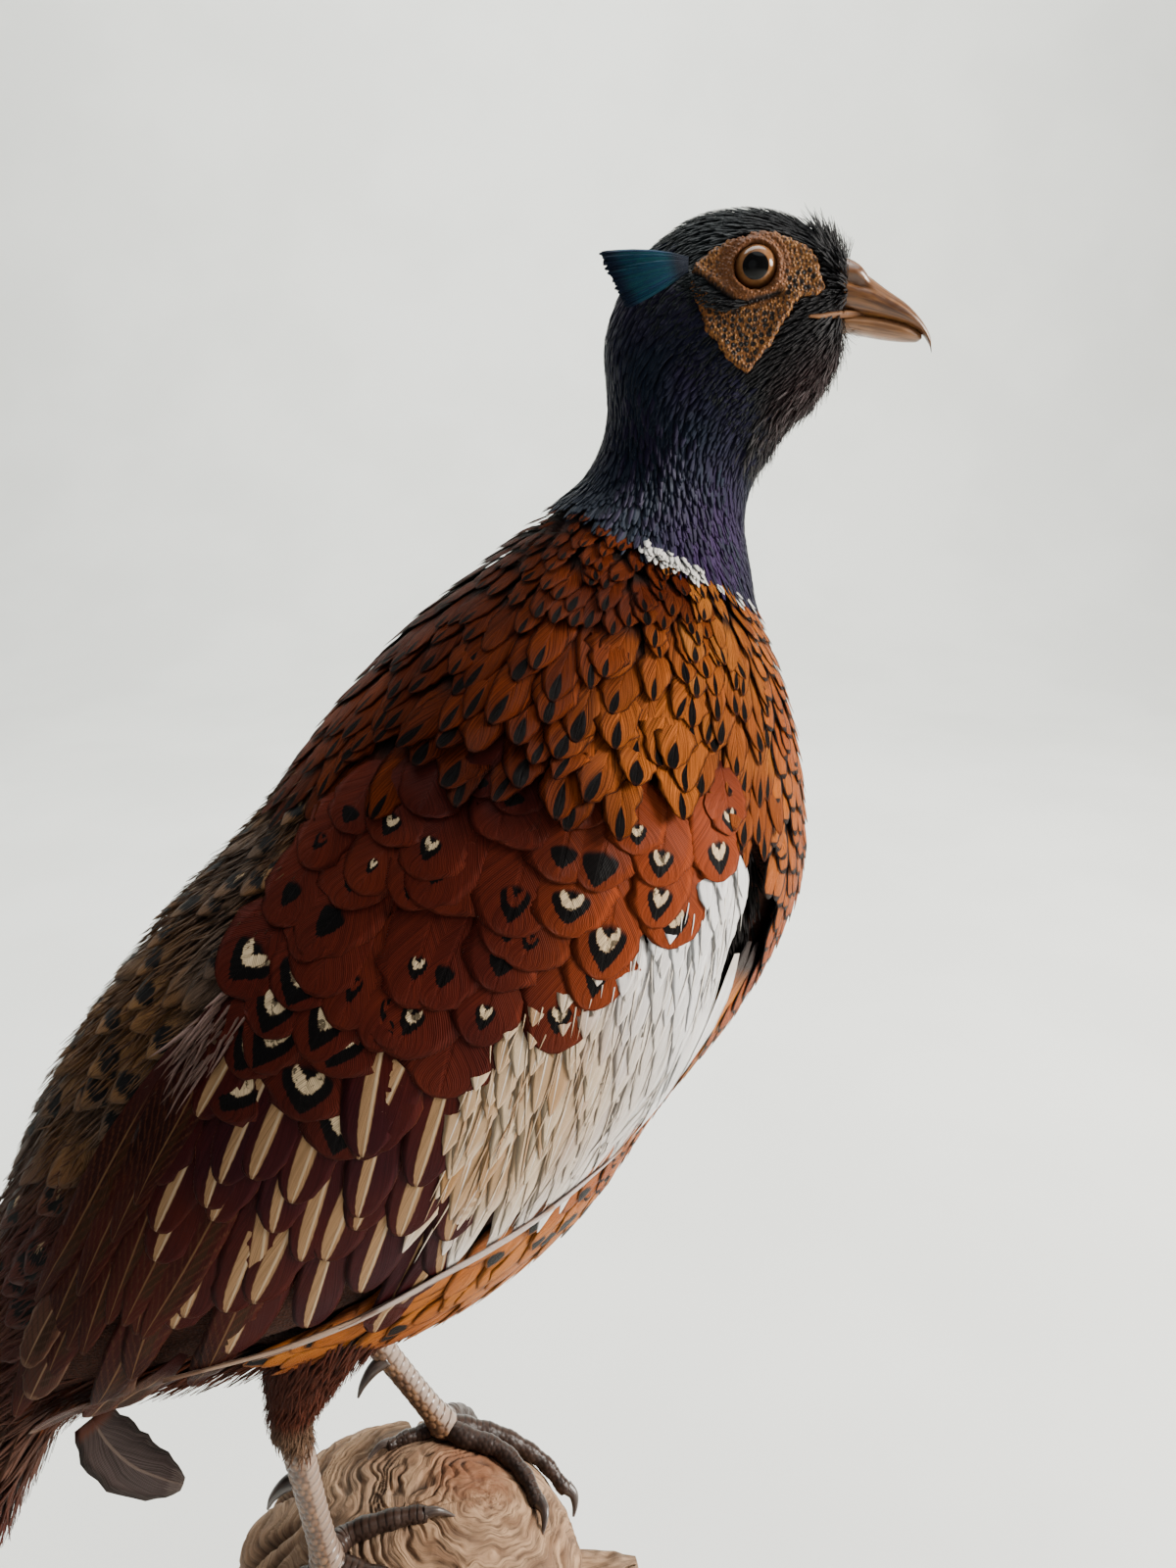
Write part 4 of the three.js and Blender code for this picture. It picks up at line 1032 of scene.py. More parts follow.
# crown, cheeks and throat: short glossy hair-like feathers, left off the bare face
def makeHeadFeathers():
    shape = dict(length=6.5, width=0.95, rows=5, columns=3, widest=0.3, tipBlunt=1.6, rootLift=-2.2,
                 tipLift=-0.35, liftPower=0.7, jitter=0.03, swing=3, curl=5, arch=0.06, thick=0.06, hug=False,
                 vary=0.2, flare=0.08)
    look = dict(ground=(0.005, 0.005, 0.007), second=(0.009, 0.008, 0.010), third=(0.004, 0.009, 0.012),
                far=((0.024, 0.009, 0.010), (118, -30, 645), 26), specular=0.25, sheen=0.0,
                root=((0.003, 0.003, 0.003), 0.4), bumpDepth=0.00005)

    def headKeep(u, fold, v):  # clear of the bare face and of the gape
        x, h = sideView(u, v, 0.0)
        fromGape = lineDistance(x, h, [(119.5, 370.5), (130.5, 371.2)])
        return ~onBareFace(u, v, 0.1) & (fromGape > np.interp(x, [119, 128], [0.5, 1.5]))

    def chinLift(u, fold):
        ragged = np.random.default_rng(5).uniform(0, 1, len(u))**2
        return (1.3 + 3.5 * ease(u, 1.3, 0.7)) * ease(fold, 130, 150) * ragged
    tract("headFeathers", bodyAt, (0.15, 5.3), (1.05, 1.0), 3, headKeep, backwards(6), shape, look,
          jitter=0.5, sizeOf=lambda u, fold: 0.55 + 0.45 * ease(u, 0.5, 3.2), raised=chinLift)
    # bristles of the forehead lean up and forward, those of the chin and throat hang ragged
    brow = lambda u, fold, v: ((fold < 62) & (u < 2.0) | (fold < 95) & (u < 1.0)) & ~onBareFace(u, v, -0.3)
    bristle = dict(shape, width=0.7, flare=2.6, rootLift=-1.5, tipLift=1.1, swing=20)
    tract("foreheadBristles", bodyAt, (0.1, 2.2), (1.1, 1.1), 5, brow, backwards(-20), bristle, look,
          jitter=0.6)
    tract("throatFeathers", bodyAt, (0.5, 6.0), (2.2, 2.0), 7, lambda u, fold, v: (fold > 138) & (u > 0.6),
          backwards(), dict(shape, length=8.5, width=0.9, flare=2.4, swing=12, tipLift=0.1),
          dict(look, ground=(0.022, 0.011, 0.010), second=(0.035, 0.018, 0.018)), jitter=0.6)
    # small bristles along the dark fold under the eye and in the lore
    u, v = latticeOn(bodyAt, 2.6, 4.7, 0.55, 0.7, 11, 75, 0.5)
    x, h = sideView(u, v, 0.0)
    kept = lineDistance(x, h, face["darkFold"][:5]) < np.interp(x, [91, 97, 104], [2.3, 1.9, 0.7])
    kept &= np.abs(foldOf(v) - 75) < 30
    u, v = u[kept], v[kept]
    layVanes("eyeStripeFeathers", bodyAt, u, v, backwards(-12)(u, v),
             dict(shape, length=3.6, width=0.7, rootLift=-1.2, tipLift=0.7, flare=0.8), look, 13)


# neck: fine glossy feathers with purple and blue-green lights
def makeNeckFeathers():
    shape = dict(length=11, width=1.9, rows=6, columns=3, widest=0.45, tipBlunt=2.0, rootLift=-1.5,
                 tipLift=-0.35, liftPower=0.7, jitter=0.015, swing=3, curl=2, arch=0.05, thick=0.06,
                 hug=False, vary=0.2, flare=0.04)
    look = dict(ground=(0.006, 0.005, 0.016), second=(0.011, 0.007, 0.030), third=(0.003, 0.008, 0.020),
                patch=30.0, metallic=0.2, specular=0.18, barbDepth=0.25, sheen=0.0,
                root=((0.003, 0.003, 0.004), 0.35), bumpDepth=0.00005)
    violet = dict(look, far=((0.026, 0.009, 0.054), (92, -38, 614), 32))
    green = dict(look, ground=(0.004, 0.011, 0.025), second=(0.006, 0.018, 0.031),
                 third=(0.009, 0.006, 0.025))
    tract("neckFeathers", bodyAt, (4.6, 9.3), (1.75, 1.55), 21,
          lambda u, fold, v: u < 9.02 - 0.1 * ease(fold, 60, 30), backwards(), shape, violet,
          jitter=0.5)
    tract("neckLights", bodyAt, (6.2, 9.2), (3.4, 3.1), 23,
          lambda u, fold, v: (u > 6.3) & (u < 8.95) & (fold > 35) & (fold < 128), backwards(),
          dict(shape, tipLift=-0.15), green, jitter=0.6)

    def collar(u, fold, v):  # broken, low on the front of the neck
        near = (u > 8.88) & (u < 9.08) & (fold > 64) & (fold < 95)
        broken = (u > 8.95) & (u < 9.06) & (fold > 95) & (fold < 140) & (np.sin(np.radians(fold) * 25) > 0.75)
        return near | broken
    tract("collarFeathers", bodyAt, (8.7, 9.2), (0.9, 1.15), 25, collar, backwards(),
          dict(length=5.5, width=1.9, rows=6, columns=3, rootLift=-1.0, tipLift=0.4, widest=0.5, jitter=0.05,
               thick=0.1, hug=False, vary=0.25),
          dict(ground=(0.72, 0.70, 0.66), second=(0.62, 0.60, 0.56), root=((0.1, 0.08, 0.07), 0.35),
               barbDepth=0.25, rough=0.7), jitter=0.3)


copper = dict(ground=(0.150, 0.026, 0.0042), second=(0.100, 0.0165, 0.0034), third=(0.062, 0.010, 0.0031),
              slant=22.0, ragged=0.05, barbDepth=0.95, rough=0.5, bump=0.75)


# mantle: copper feathers, each with a black wedge towards the tip
def makeMantle():
    shape = dict(length=30, width=11.6, rows=13, columns=7, widest=0.6, tipBlunt=2.2, tipRound=0.72,
                 rootLift=-3.0, tipLift=0.1, liftPower=0.55, jitter=0.10, swing=9, curl=3.5, arch=0.02,
                 thick=0.08, fray=0.10, vary=0.16)
    # far: a brighter gold towards the front of the right side, partly the gold of the breast side and partly
    # painted light where the key lamp falls
    look = dict(copper, edge=((0.030, 0.007, 0.004), 0.9, 0.6), specular=0.03, sheen=0.0,
                far=((0.35, 0.092, 0.014), (80, -58, 560), 54),
                mark=dict(centre=0.94, shift=0.07, length=0.26, width=0.38, grow=0.28, point=0.75,
                          share=0.95))
    parts = {"mantleNear": (bodyAt, (8.85, 10.2), (5.4, 5.4), 31, 40, 0.3),
             "mantle": (coatAt, (10.1, 13.0), (8.4, 7.4), 33, 50, 0.25)}
    for name, (surface, reach, gaps, seed, lineAt, jitter) in parts.items():
        rear = name == "mantle"
        tract(name, surface, reach, gaps, seed,
              lambda u, fold, v: within(u, fold, tractOutlines["mantle"]) & ((u >= 10.1) == rear),
              backwards(4), shape, look, lineAt=lineAt, jitter=jitter,
              sizeOf=lambda u, fold: 0.40 + 0.60 * ease(u, 9.0, 11.4) - 0.2 * ease(fold, 45, 10),
              raised=lambda u, fold: 2.3 * rear * ease(u, 10.8, 11.4) * ease(fold, 22, 40))


# golden feathers at the side of the breast, narrow and black-wedged
def makeGoldenSide():
    shape = dict(length=26, width=8.2, rows=11, columns=7, widest=0.6, tipBlunt=2.1, tipRound=0.75,
                 rootLift=-2.9, liftPower=0.6, jitter=0.12, swing=7, arch=0.03, thick=0.08, fray=0.07,
                 vary=0.16)
    look = dict(copper, ground=(0.53, 0.185, 0.026), second=(0.42, 0.135, 0.019), third=(0.27, 0.062, 0.010),
                specular=0.05, sheen=0.0, edge=((0.07, 0.015, 0.006), 0.88, 0.6),
                mark=dict(centre=0.95, shift=0.06, length=0.25, width=0.50, grow=0.24, point=0.85,
                          share=0.92))
    tract("goldenSide", bodyAt, (8.9, 11.75), (8.0, 5.2), 37, inOutline("goldenSide"), backwards(-3), shape,
          look, lineAt=105, jitter=0.3, sizeOf=lambda u, fold: 0.6 + 0.4 * ease(u, 9.0, 10.8),
          raised=lambda u, fold: 2.2 * ease(u, 11.0, 11.5))


# breast: small copper scales edged with black, and black feathers in the hollow before the wing as painted
# shade, where the wing's edge shadows the breast
def makeBreast():
    shape = dict(length=17, width=7.6, rows=9, widest=0.6, tipBlunt=2.6, rootLift=-2.6, tipLift=0.25,
                 liftPower=0.6, jitter=0.12, swing=6, arch=0.05, thick=0.08, fray=0.04)
    look = dict(copper, ground=(0.42, 0.084, 0.006), second=(0.31, 0.054, 0.006), third=(0.50, 0.125, 0.009),
                specular=0.08, edge=((0.006, 0.004, 0.004), 0.72, 0.97), ragged=0.08)
    taken = inOutline("goldenSide", "whiteCovert", "secondary", "primary", "scapular")
    inGap = lambda u, fold, v: within(u, fold, shadowGap)

    def breast(u, fold, v):
        upper = np.interp(u, [9, 11.6, 12.0, 12.3, 12.6, 12.9, 13.2, 15],
                          [94, 114, 126, 132, 135, 134, 131, 131])
        return ((fold > 94 + 22 * ease(u, 9.2, 11.0)) & (fold > upper) & (u < 14.6) & (fold < 181)
                & ~taken(u, fold, v) & ~inGap(u, fold, v))
    tract("breastScales", bodyAt, (8.95, 14.6), (6.4, 5.4), 41, breast, backwards(), shape, look, lineAt=150,
          jitter=0.25, sizeOf=lambda u, fold: 0.62 + 0.38 * ease(u, 9.0, 10.8))
    # black vanes in the hollow: painted shade under the wing's edge
    tract("hollowShadeFeathers", bodyAt, (11.2, 13.5), (2.2, 1.8), 43, inGap, backwards(),
          dict(length=9, width=1.6, rows=5, columns=3, widest=0.4, rootLift=-7.0, tipLift=-3.6, jitter=0.4,
               arch=0.4, hug=False, vary=0.3),
          dict(ground=(0.006, 0.005, 0.005), second=(0.012, 0.009, 0.009), rough=0.8, sheen=0.0), lineAt=120,
          jitter=0.5)


# scapulars and lesser coverts: chestnut, black crescents round cream centres
def makeScapulars():
    shape = dict(length=38, width=22, rows=12, columns=9, widest=0.62, rootLift=-2.4, tipLift=0.06,
                 liftPower=0.5, jitter=0.05, swing=7, curl=2.2, arch=0.02, thick=0.07, fray=0.08, vary=0.18,
                 narrows=0.5)
    # far: brighter chestnut towards the front of the right side, painted light where the key lamp falls
    look = dict(ground=(0.100, 0.0150, 0.0064), second=(0.072, 0.0102, 0.0054), third=(0.046, 0.0068, 0.0048),
                patch=22.0, specular=0.05, sheen=0.0, barbs=54.0, slant=20.0, barbDepth=0.5, rough=0.48,
                far=((0.205, 0.036, 0.009), (72, -70, 522), 66), root=((0.045, 0.007, 0.004), 0.2),
                edge=((0.13, 0.026, 0.008), 0.95, 0.3),
                mark=dict(centre=0.76, shift=0.05, length=0.115, width=0.25, grow=0.14, point=-0.28, rim=0.32,
                          open=1.0, placed=True, notched=0.9, colour=(0.60, 0.45, 0.27), surround=black,
                          specks=0.8))

    def size(u, fold):  # the first rows are short, so that their roots stay under the mantle
        first = np.interp(fold, [24, 36, 46, 62, 78, 90, 100], [12.3, 12.0, 11.7, 11.6, 11.5, 11.4, 11.3])
        return np.clip(((u - first) * 27 + 15) / 38, 0.4, 0.72 + 0.28 * ease(u, 11.6, 13.0))

    def marksOf(u, v):  # in side view: bold pale marks to the rear edge, small dark ones in the middle
        rng = np.random.default_rng(57)
        x, h = sideView(u, v)
        rear, front = ease(-x - 0.35 * (h - 200), 10, 30), ease(x, 22, 40)
        pale = rng.uniform(0, 1, len(u)) < 0.36 + 0.6 * rear + 0.45 * front
        bigness = 0.66 + 0.5 * rear * pale + 0.28 * front + 0.16 * rng.normal(0, 1, len(u))
        none = rng.uniform(0, 1, len(u)) > 0.78 + 0.2 * rear + 0.15 * front
        return {"markSize": np.clip(bigness, 0.45, 1.5) * ~none + 0.02 * none, "markPale": pale * 1.0}
    tract("scapulars", wingAt, (11.2, 15.0), (11.6, 12.4), 51, inOutline("scapular"), wingFlow, shape, look,
          70, 0.22, size, marksOf=marksOf)


# silky white and cream coverts over the front of the wing, with loose strands over them
def makeWhiteCoverts():
    shape = dict(length=52, width=10, vary=0.05, narrows=0.4, rows=16, widest=0.5, tipBlunt=1.5, tipRound=0.9,
                 rootLift=-1.9, tipLift=0.0, liftPower=0.5, jitter=0.02, swing=4, curl=1.2, arch=0.0,
                 thick=0.05, fray=0.06)
    look = dict(ground=(0.93, 0.91, 0.91), second=(0.80, 0.77, 0.75), patch=30.0, barbs=70.0, slant=40.0,
                barbDepth=0.14, ragged=0.03, far=((0.62, 0.47, 0.31), (-2, -66, 490), 72),
                farSecond=(0.33, 0.165, 0.055), root=((0.62, 0.55, 0.48), 0.2), shaft=(0.80, 0.77, 0.73),
                shaftStrength=0.6, sheen=0.1)
    strand = dict(shape, length=34, width=0.7, rows=8, columns=3, tipLift=0.08, rootLift=-1.2, tipBlunt=1.4,
                  swing=5, curl=6, hug=False, arch=0.05, thick=0.04, flare=0.12, fray=0.0)
    silk = dict(look, ground=(0.92, 0.90, 0.89), second=(0.80, 0.72, 0.62), barbDepth=0.15)
    # the nearer a tip lies to the edge of the scapulars, the shorter its vane, which keeps its root hidden
    cover = [(83, 239), (75, 237), (63, 229), (46, 223), (26, 213), (11, 208), (3, 199)]

    def sizeFor(length, under):
        return lambda u, fold: np.clip((lineDistance(*sideView(u, np.radians(fold)), cover) + under) / length,
                                       0.2, 1.0)
    tract("whiteCoverts", wingAt, (11.4, 15.4), (7.5, 5.6), 61, aboveRim("whiteCovert", 2.8, 2.0), wingFlow,
          shape, look, 105, 0.3, sizeFor(52.0, 8.0), 0.96)
    tract("silkStrands", wingAt, (11.4, 15.2), (7.6, 3.6), 63, aboveRim("whiteCovert"), wingFlow, strand,
          silk, 105, 0.5, sizeFor(34.0, 5.0), 0.96)


# greater coverts and secondaries: maroon with pale lengthwise patches and white shafts; then the primaries
def makeSecondaries():
    shape = dict(length=68, width=14.5, vary=0.08, rows=15, columns=9, widest=0.6, tipBlunt=3.4, tipRound=0.5,
                 rootLift=-2.2, tipLift=0.08, liftPower=0.6, jitter=0.06, swing=4, curl=2.4, arch=0.02,
                 thick=0.07, fray=0.05)
    look = dict(ground=(0.038, 0.0042, 0.0045), second=(0.026, 0.0034, 0.0062), third=(0.052, 0.0062, 0.0034),
                specular=0.05, patch=26.0, barbs=60.0, slant=34.0, barbDepth=0.5, rough=0.42, sheen=0.0,
                bump=0.45, stripe=((0.32, 0.185, 0.090), -0.13, 0.30, 0.22, 1.05), shaft=(0.44, 0.32, 0.20),
                edge=((0.12, 0.032, 0.010), 0.95, 0.6), root=((0.03, 0.006, 0.005), 0.4))
    long = dict(shape, length=78, width=11, tipLift=0.15, rootLift=-1.5, tipBlunt=2.2, tipRound=0.7)
    flight = dict(look, stripe=((0.034, 0.012, 0.004), 0.35, 0.30, 0.3, 0.9), shaft=(0.15, 0.075, 0.032),
                  bars=((0.060, 0.017, 0.007), 16.0, 0.6, 2.6), edge=((0.065, 0.014, 0.005), 0.93, 0.5),
                  ground=(0.019, 0.0030, 0.0019), second=(0.014, 0.0023, 0.0017))
    broad = dict(long, length=44, width=9.5, tipBlunt=3.4, tipRound=0.55, jitter=0.25, tipLift=0.5)
    pale = dict(flight, ground=(0.100, 0.044, 0.024), second=(0.070, 0.028, 0.016), shaft=(0.26, 0.15, 0.08),
                edge=((0.20, 0.11, 0.065), 0.88, 0.55), bars=((0.055, 0.022, 0.013), 12.0, 0.5, 2.0))
    tract("secondaries", wingAt, (13.6, 16.7), (20.0, 8.6), 71, aboveRim("secondary", 3.2, -0.4), wingFlow,
          shape, look, 85, 0.2, None, 0.97)
    tract("primaries", wingAt, (15.4, 18.4), (13.5, 7.5), 73, aboveRim("primary", 1.2, -0.4), wingFlow, long,
          flight, 85, 0.2, None, 0.97)
    # the last feathers of the wing end in broad grey-brown tips over the root of the tail
    fold = np.array([72.0, 80, 86, 92, 90])
    u, v = np.tile([17.6, 17.85, 18.05, 17.9, 18.15], 2), np.radians(np.concatenate([360 - fold, fold]))
    su, sv = rootsBehind(wingAt, u, v, wingFlow, np.full(len(u), 42.0))
    layVanes("wingTips", wingAt, su, sv, wingFlow(su, sv), broad, pale, 75)


# points across a line of places: side steps by the shares q of half widths, heights along the normal
def acrossLine(line, across, half, normal, height):
    q = np.linspace(-1, 1, height.shape[-1])
    return (line[:, None] + across[:, None] * (q[None, :] * half[:, None])[..., None]
            + normal[:, None] * height[..., None])


# the wing's lower rim: the narrow stiff outer edges of the flight feathers, side by side
def makeWingRim():
    look = dict(ground=(0.60, 0.50, 0.47), second=(0.40, 0.26, 0.18), barbs=160.0, barbDepth=0.5,
                edge=((0.20, 0.10, 0.06), 0.80, 0.7), shaft=(0.50, 0.40, 0.32), root=((0.3, 0.18, 0.12), 0.1),
                ragged=0.01)
    size = dict(count=4, rows=30, columns=5, front=50, length=58, step=22, halfWidth=2.4, narrower=0.36,
                lift=0.7)
    material = featherMaterial("wingRimVane", look)
    count, s, q = size["count"], np.linspace(0, 1, size["rows"]), np.linspace(-1, 1, size["columns"])
    for word, side in sides.items():
        tops, unders, roots = [], [], []
        own = np.array([1, -side, 1])  # worked out on the left, set on its own side
        for i in range(count):
            x = size["front"] - size["step"] * i - size["length"] * s
            h = np.interp(x, rimLine[:, 0], rimLine[:, 1]) + 1.5 * (i % 2)
            v = np.full(len(s), np.radians(110.0))
            u = np.interp(-x, [-75, -40, 18, 50, 80, 103, 125], [13.0, 14.4, 15.5, 16.1, 16.8, 17.4, 18.4])
            for k in range(8):  # walk to the body place with that side view
                line, du, dv, n = slopesAt(wingAt, u, v)
                missX, missH = x - line[:, 0], h + perch - line[:, 2]
                det = du[:, 0] * dv[:, 2] - du[:, 2] * dv[:, 0]
                u = u + 0.8 * (missX * dv[:, 2] - missH * dv[:, 0]) / det
                v = v + 0.8 * (du[:, 0] * missH - du[:, 2] * missX) / det
            across = unit(np.cross(n, unit(np.gradient(line, axis=0))))
            half = ((size["halfWidth"] - size["narrower"] * i) * np.clip(1 - s**3, 0.05, 1)
                    * (0.2 + 0.8 * ease(s, 0, 0.3)))
            lift = size["lift"] + 0.25 * (i % 2) + 0.25 * s
            grid = acrossLine(line, across, half, n, lift[:, None] - 0.5 * q[None, :]**2) * own
            tops.append(grid[:, ::-1] if side < 0 else grid)
            unders.append((line + n * (lift - 1.2)[:, None]) * own)
            roots.append([u[0] / lastStation, 0.5 - 0.2 * side])
        tone = np.linspace(0, 1, count)
        putVanes("wingRim_" + word, np.array(tops), np.array(unders), np.array(roots),
                 {"tone": tone, "kind": tone[::-1]}, material)


# flank: golden-orange feathers with black tips below the wing
def makeFlank():
    shape = dict(length=34, width=12, rows=8, widest=0.6, tipBlunt=2.0, tipRound=0.7, rootLift=-2.6,
                 tipLift=0.15, liftPower=0.6, jitter=0.08, swing=7, curl=3, arch=0.03, thick=0.08, fray=0.12)
    look = dict(ground=(0.52, 0.160, 0.012), second=(0.42, 0.115, 0.009), third=(0.28, 0.056, 0.006),
                barbs=50.0, sheen=0.0, slant=26.0, barbDepth=0.7, rough=0.5, ragged=0.14,
                mark=dict(centre=0.90, shift=0.05, length=0.10, width=0.6, grow=0.3, share=0.36))
    keep = lambda u, fold, v: ((u > 13.0) & (u < 16.5) & (fold > 94)
                               & (fold < np.interp(u, [15.2, 16.5], [165, 140]))
                               & (overRim(u, v) < 0.5 - 5 * ease(u, 14.6, 15.4)))
    tract("flankFeathers", bodyAt, (12.8, 16.5), (9.5, 7.5), 81, keep, backwards(-4), shape, look, lineAt=130,
          jitter=0.3)


rufous = dict(ground=(0.085, 0.018, 0.006), second=(0.050, 0.011, 0.005), third=(0.12, 0.030, 0.009),
              rough=0.65, sheen=0.0, barbDepth=0.3, root=((0.02, 0.008, 0.005), 0.4), bumpDepth=0.0002)
hair = dict(length=19, width=2.0, rows=6, columns=3, widest=0.35, tipBlunt=1.4, tipRound=1.0, rootLift=-5.2,
            tipLift=0.1, jitter=0.3, swing=6, curl=12, arch=0.25, thick=0.12, hug=False, vary=0.3, flare=0.5)


# belly, vent and thighs: dark rufous hair-like feathers
def makeBelly():
    keep = lambda u, fold, v: (u > 13.8) & (fold > np.interp(u, [13.8, 15, 15.9, 16.5, 17.5, 19],
                                                             [158, 158, 140, 116, 92, 60]))
    tract("bellyFeathers", bodyAt, (13.6, 18.2), (3.6, 2.7), 91, keep, backwards(), hair, rufous, lineAt=150,
          jitter=0.5)
    shape = dict(hair, length=14, width=1.2, rootLift=-2.4, tipLift=0.15, flare=0.7)
    look = dict(rufous, ground=(0.052, 0.0086, 0.003), second=(0.032, 0.006, 0.003),
                third=(0.074, 0.014, 0.004))
    count = 1700
    for word, leg in legs.items():
        # the feathers run on past the joint, down over the top of the shank
        ankle, foot = np.array([leg["ankle"], leg["foot"]], float) + [0, 0, perch]
        shank = [[*(ankle + (foot - ankle) * k), r, r] for k, r in ((0.16, 5.3), (0.34, 5.0), (0.55, 4.8))]
        rows = np.vstack([thighRows(leg), shank])
        thigh = lambda u, v: rodAt(rows, u, v)
        rng = np.random.default_rng(95)
        u, v = np.sort(rng.uniform(0.1, 2.75, count)), rng.uniform(0, circle, count)
        layVanes("thighFeathers_" + word, thigh, u, v, unit(slopesAt(thigh, u, v)[1]), shape,
                 dict(look, far=((0.13, 0.07, 0.04), (*leg["ankle"][:2], 358), 14)), 97)


# rump: long fine feathers, olive-brown and grey with dark chevrons and cream marks, and a silky grey tuft
def makeRump():
    look = dict(ground=(0.130, 0.056, 0.016), second=(0.052, 0.020, 0.008), third=(0.085, 0.052, 0.034),
                patch=34.0, barbDepth=0.3, root=((0.02, 0.008, 0.005), 0.35), bumpDepth=0.0002,
                far=((0.070, 0.018, 0.012), (-105, -40, 425), 55))
    shape = dict(length=30, width=13, rows=9, widest=0.6, tipBlunt=1.8, tipRound=0.8, rootLift=-4.0, swing=7,
                 arch=0.1, thick=0.12, fray=0.1)
    marks = dict(look, ground=(0.125, 0.054, 0.017), second=(0.19, 0.095, 0.036), ragged=0.25, barbs=30.0,
                 slant=14.0, barbDepth=0.7,
                 mark=dict(centre=0.72, shift=0.05, length=0.08, width=0.30, point=0.8, rim=0.8, open=1.0,
                           colour=(0.40, 0.27, 0.15), surround=(0.005, 0.004, 0.004), share=0.75,
                           innerShare=0.5))
    keep = lambda u, fold, v: (u < 18.6) & (fold < np.interp(
        u, [12.2, 12.9, 13.6, 14.4, 15.2, 16.3, 17.4, 18.3], [0, 27, 33, 46, 50, 54, 66, 92]))
    tract("rumpHair", bodyAt, (12.4, 18.8), (3.2, 2.2), 101, keep, backwards(),
          dict(hair, length=24, width=1.9), look, lineAt=20, jitter=0.5)
    tract("rumpFeathers", bodyAt, (12.4, 18.4), (13.5, 10.5), 103, keep, backwards(), shape, marks, lineAt=20,
          jitter=0.3)
    rng = np.random.default_rng(105)
    u = np.tile(rng.uniform(14.15, 14.75, 60), 2)
    fold = 38.5 + rng.uniform(-3, 3, 60)
    v = np.radians(np.concatenate([360 - fold, fold]))
    su, sv = rootsBehind(coatAt, u, v, backwards(10), np.full(120, 16.0))
    layVanes("greySilk", coatAt, su, sv, backwards(10)(su, sv),
             dict(hair, length=20, width=1.6, tipLift=1.6, rootLift=-1.0),
             dict(ground=(0.24, 0.15, 0.125), second=(0.10, 0.05, 0.035), barbDepth=0.3, rough=0.6,
                  root=((0.05, 0.02, 0.012), 0.5), bumpDepth=0.0002), 107)


# tail coverts: maroon hair-like feathers round the root of the tail
def makeTailCoverts():
    tract("tailCovertFeathers", bodyAt, (17.4, 20.95), (5.2, 3.0), 111, lambda u, fold, v: u > 17.6,
          backwards(), dict(hair, length=34, width=2.6, rows=7, rootLift=-4.0, tipLift=0.4),
          dict(rufous, ground=(0.085, 0.016, 0.009), second=(0.052, 0.011, 0.007), third=(0.10, 0.045, 0.03)),
          lineAt=90, jitter=0.5)


tail = dict(length=430.0, root=(-120.0, 92.0), slopeStart=64.0, slopeEnd=49.0, layer=2.2,
            # share of the length, place outwards, spread in degrees, half width, drop, thickness, sides
            feathers={"central": (1.0, 0.0, 0.0, 15.0, -2.6, 1.0, (0,)),
                      "inner": (0.78, 8.0, 1.2, 12.0, 0.0, 0.8, (-1, 1)),
                      "middle": (0.58, 13.0, 2.4, 11.0, 4.4, 0.8, (-1, 1)),
                      "outer": (0.40, 18.0, 3.6, 10.5, 8.8, 0.8, (-1, 1))})


# path of the tail in side view: equal steps whose slope eases from one angle to another
def tailPath(s):
    steps = np.linspace(0, 1, 41)
    slope = np.radians(tail["slopeStart"] + (tail["slopeEnd"] - tail["slopeStart"]) * steps)
    x = tail["root"][0] - np.append(0, np.cumsum(np.cos(slope[1:]))) * tail["length"] / 40
    z = tail["root"][1] + perch - np.append(0, np.cumsum(np.sin(slope[1:]))) * tail["length"] / 40
    return (np.interp(s, steps, a) for a in (x, z, slope))


# one vane with its own tone
def putBlade(name, grid, under, root, tone, material, hides):
    putVanes(name, grid[None], under[None], np.array([root]),
             {"tone": np.array([tone]), "kind": np.array([0.5])}, material, hides)


# each blade runs down the tail's path, spread sideways by a tangent, its halves arched by a square
def makeTail():
    look = dict(ground=(0.18, 0.092, 0.038), second=(0.13, 0.066, 0.028), third=(0.19, 0.11, 0.055),
                patch=14.0, barbs=260.0, slant=20.0, barbDepth=0.35, ragged=0.004, rough=0.5,
                root=((0.10, 0.05, 0.03), 0.1), bars=((0.022, 0.012, 0.009), 15.0, 0.62, -0.5),
                edge=((0.15, 0.045, 0.024), 0.62, 0.85), shaft=(0.10, 0.055, 0.03))
    material = featherMaterial("tailVane", look)
    share, q = rowsAlong(39), np.linspace(-1, 1, 9)
    for name, (reach, out, spread, half, under, thick, blades) in tail["feathers"].items():
        for side in blades:
            s = share * reach
            x, z, slope = tailPath(s)
            y = side * (out + s * tail["length"] * math.tan(math.radians(spread)))
            normal = joined(-np.sin(slope), 0.0, np.cos(slope))
            line = joined(x, y, z) - normal * (under + tail["layer"] * (side > 0))
            wide = half * (0.12 + 0.88 * np.sqrt(np.clip(1 - share**3, 0, 1)))
            wide = wide * (1 + 0.03 * np.sin(share * 40 + side) + 0.02 * np.sin(share * 97))
            arch = np.broadcast_to(0.75 * thick - 1.1 * thick * q**2, (len(s), len(q)))
            grid = acrossLine(line, np.array([[0, 1, 0]]), wide, normal, arch)
            word = ("", "_left", "_right")[side]
            putBlade("rectrix_" + name + word, grid, line - normal * (0.25 * thick),
                     (0.97, 0.5 + 0.06 * side), 0.4 + 0.2 * side, material, ("tail_" + name + word,))
    print("tail")


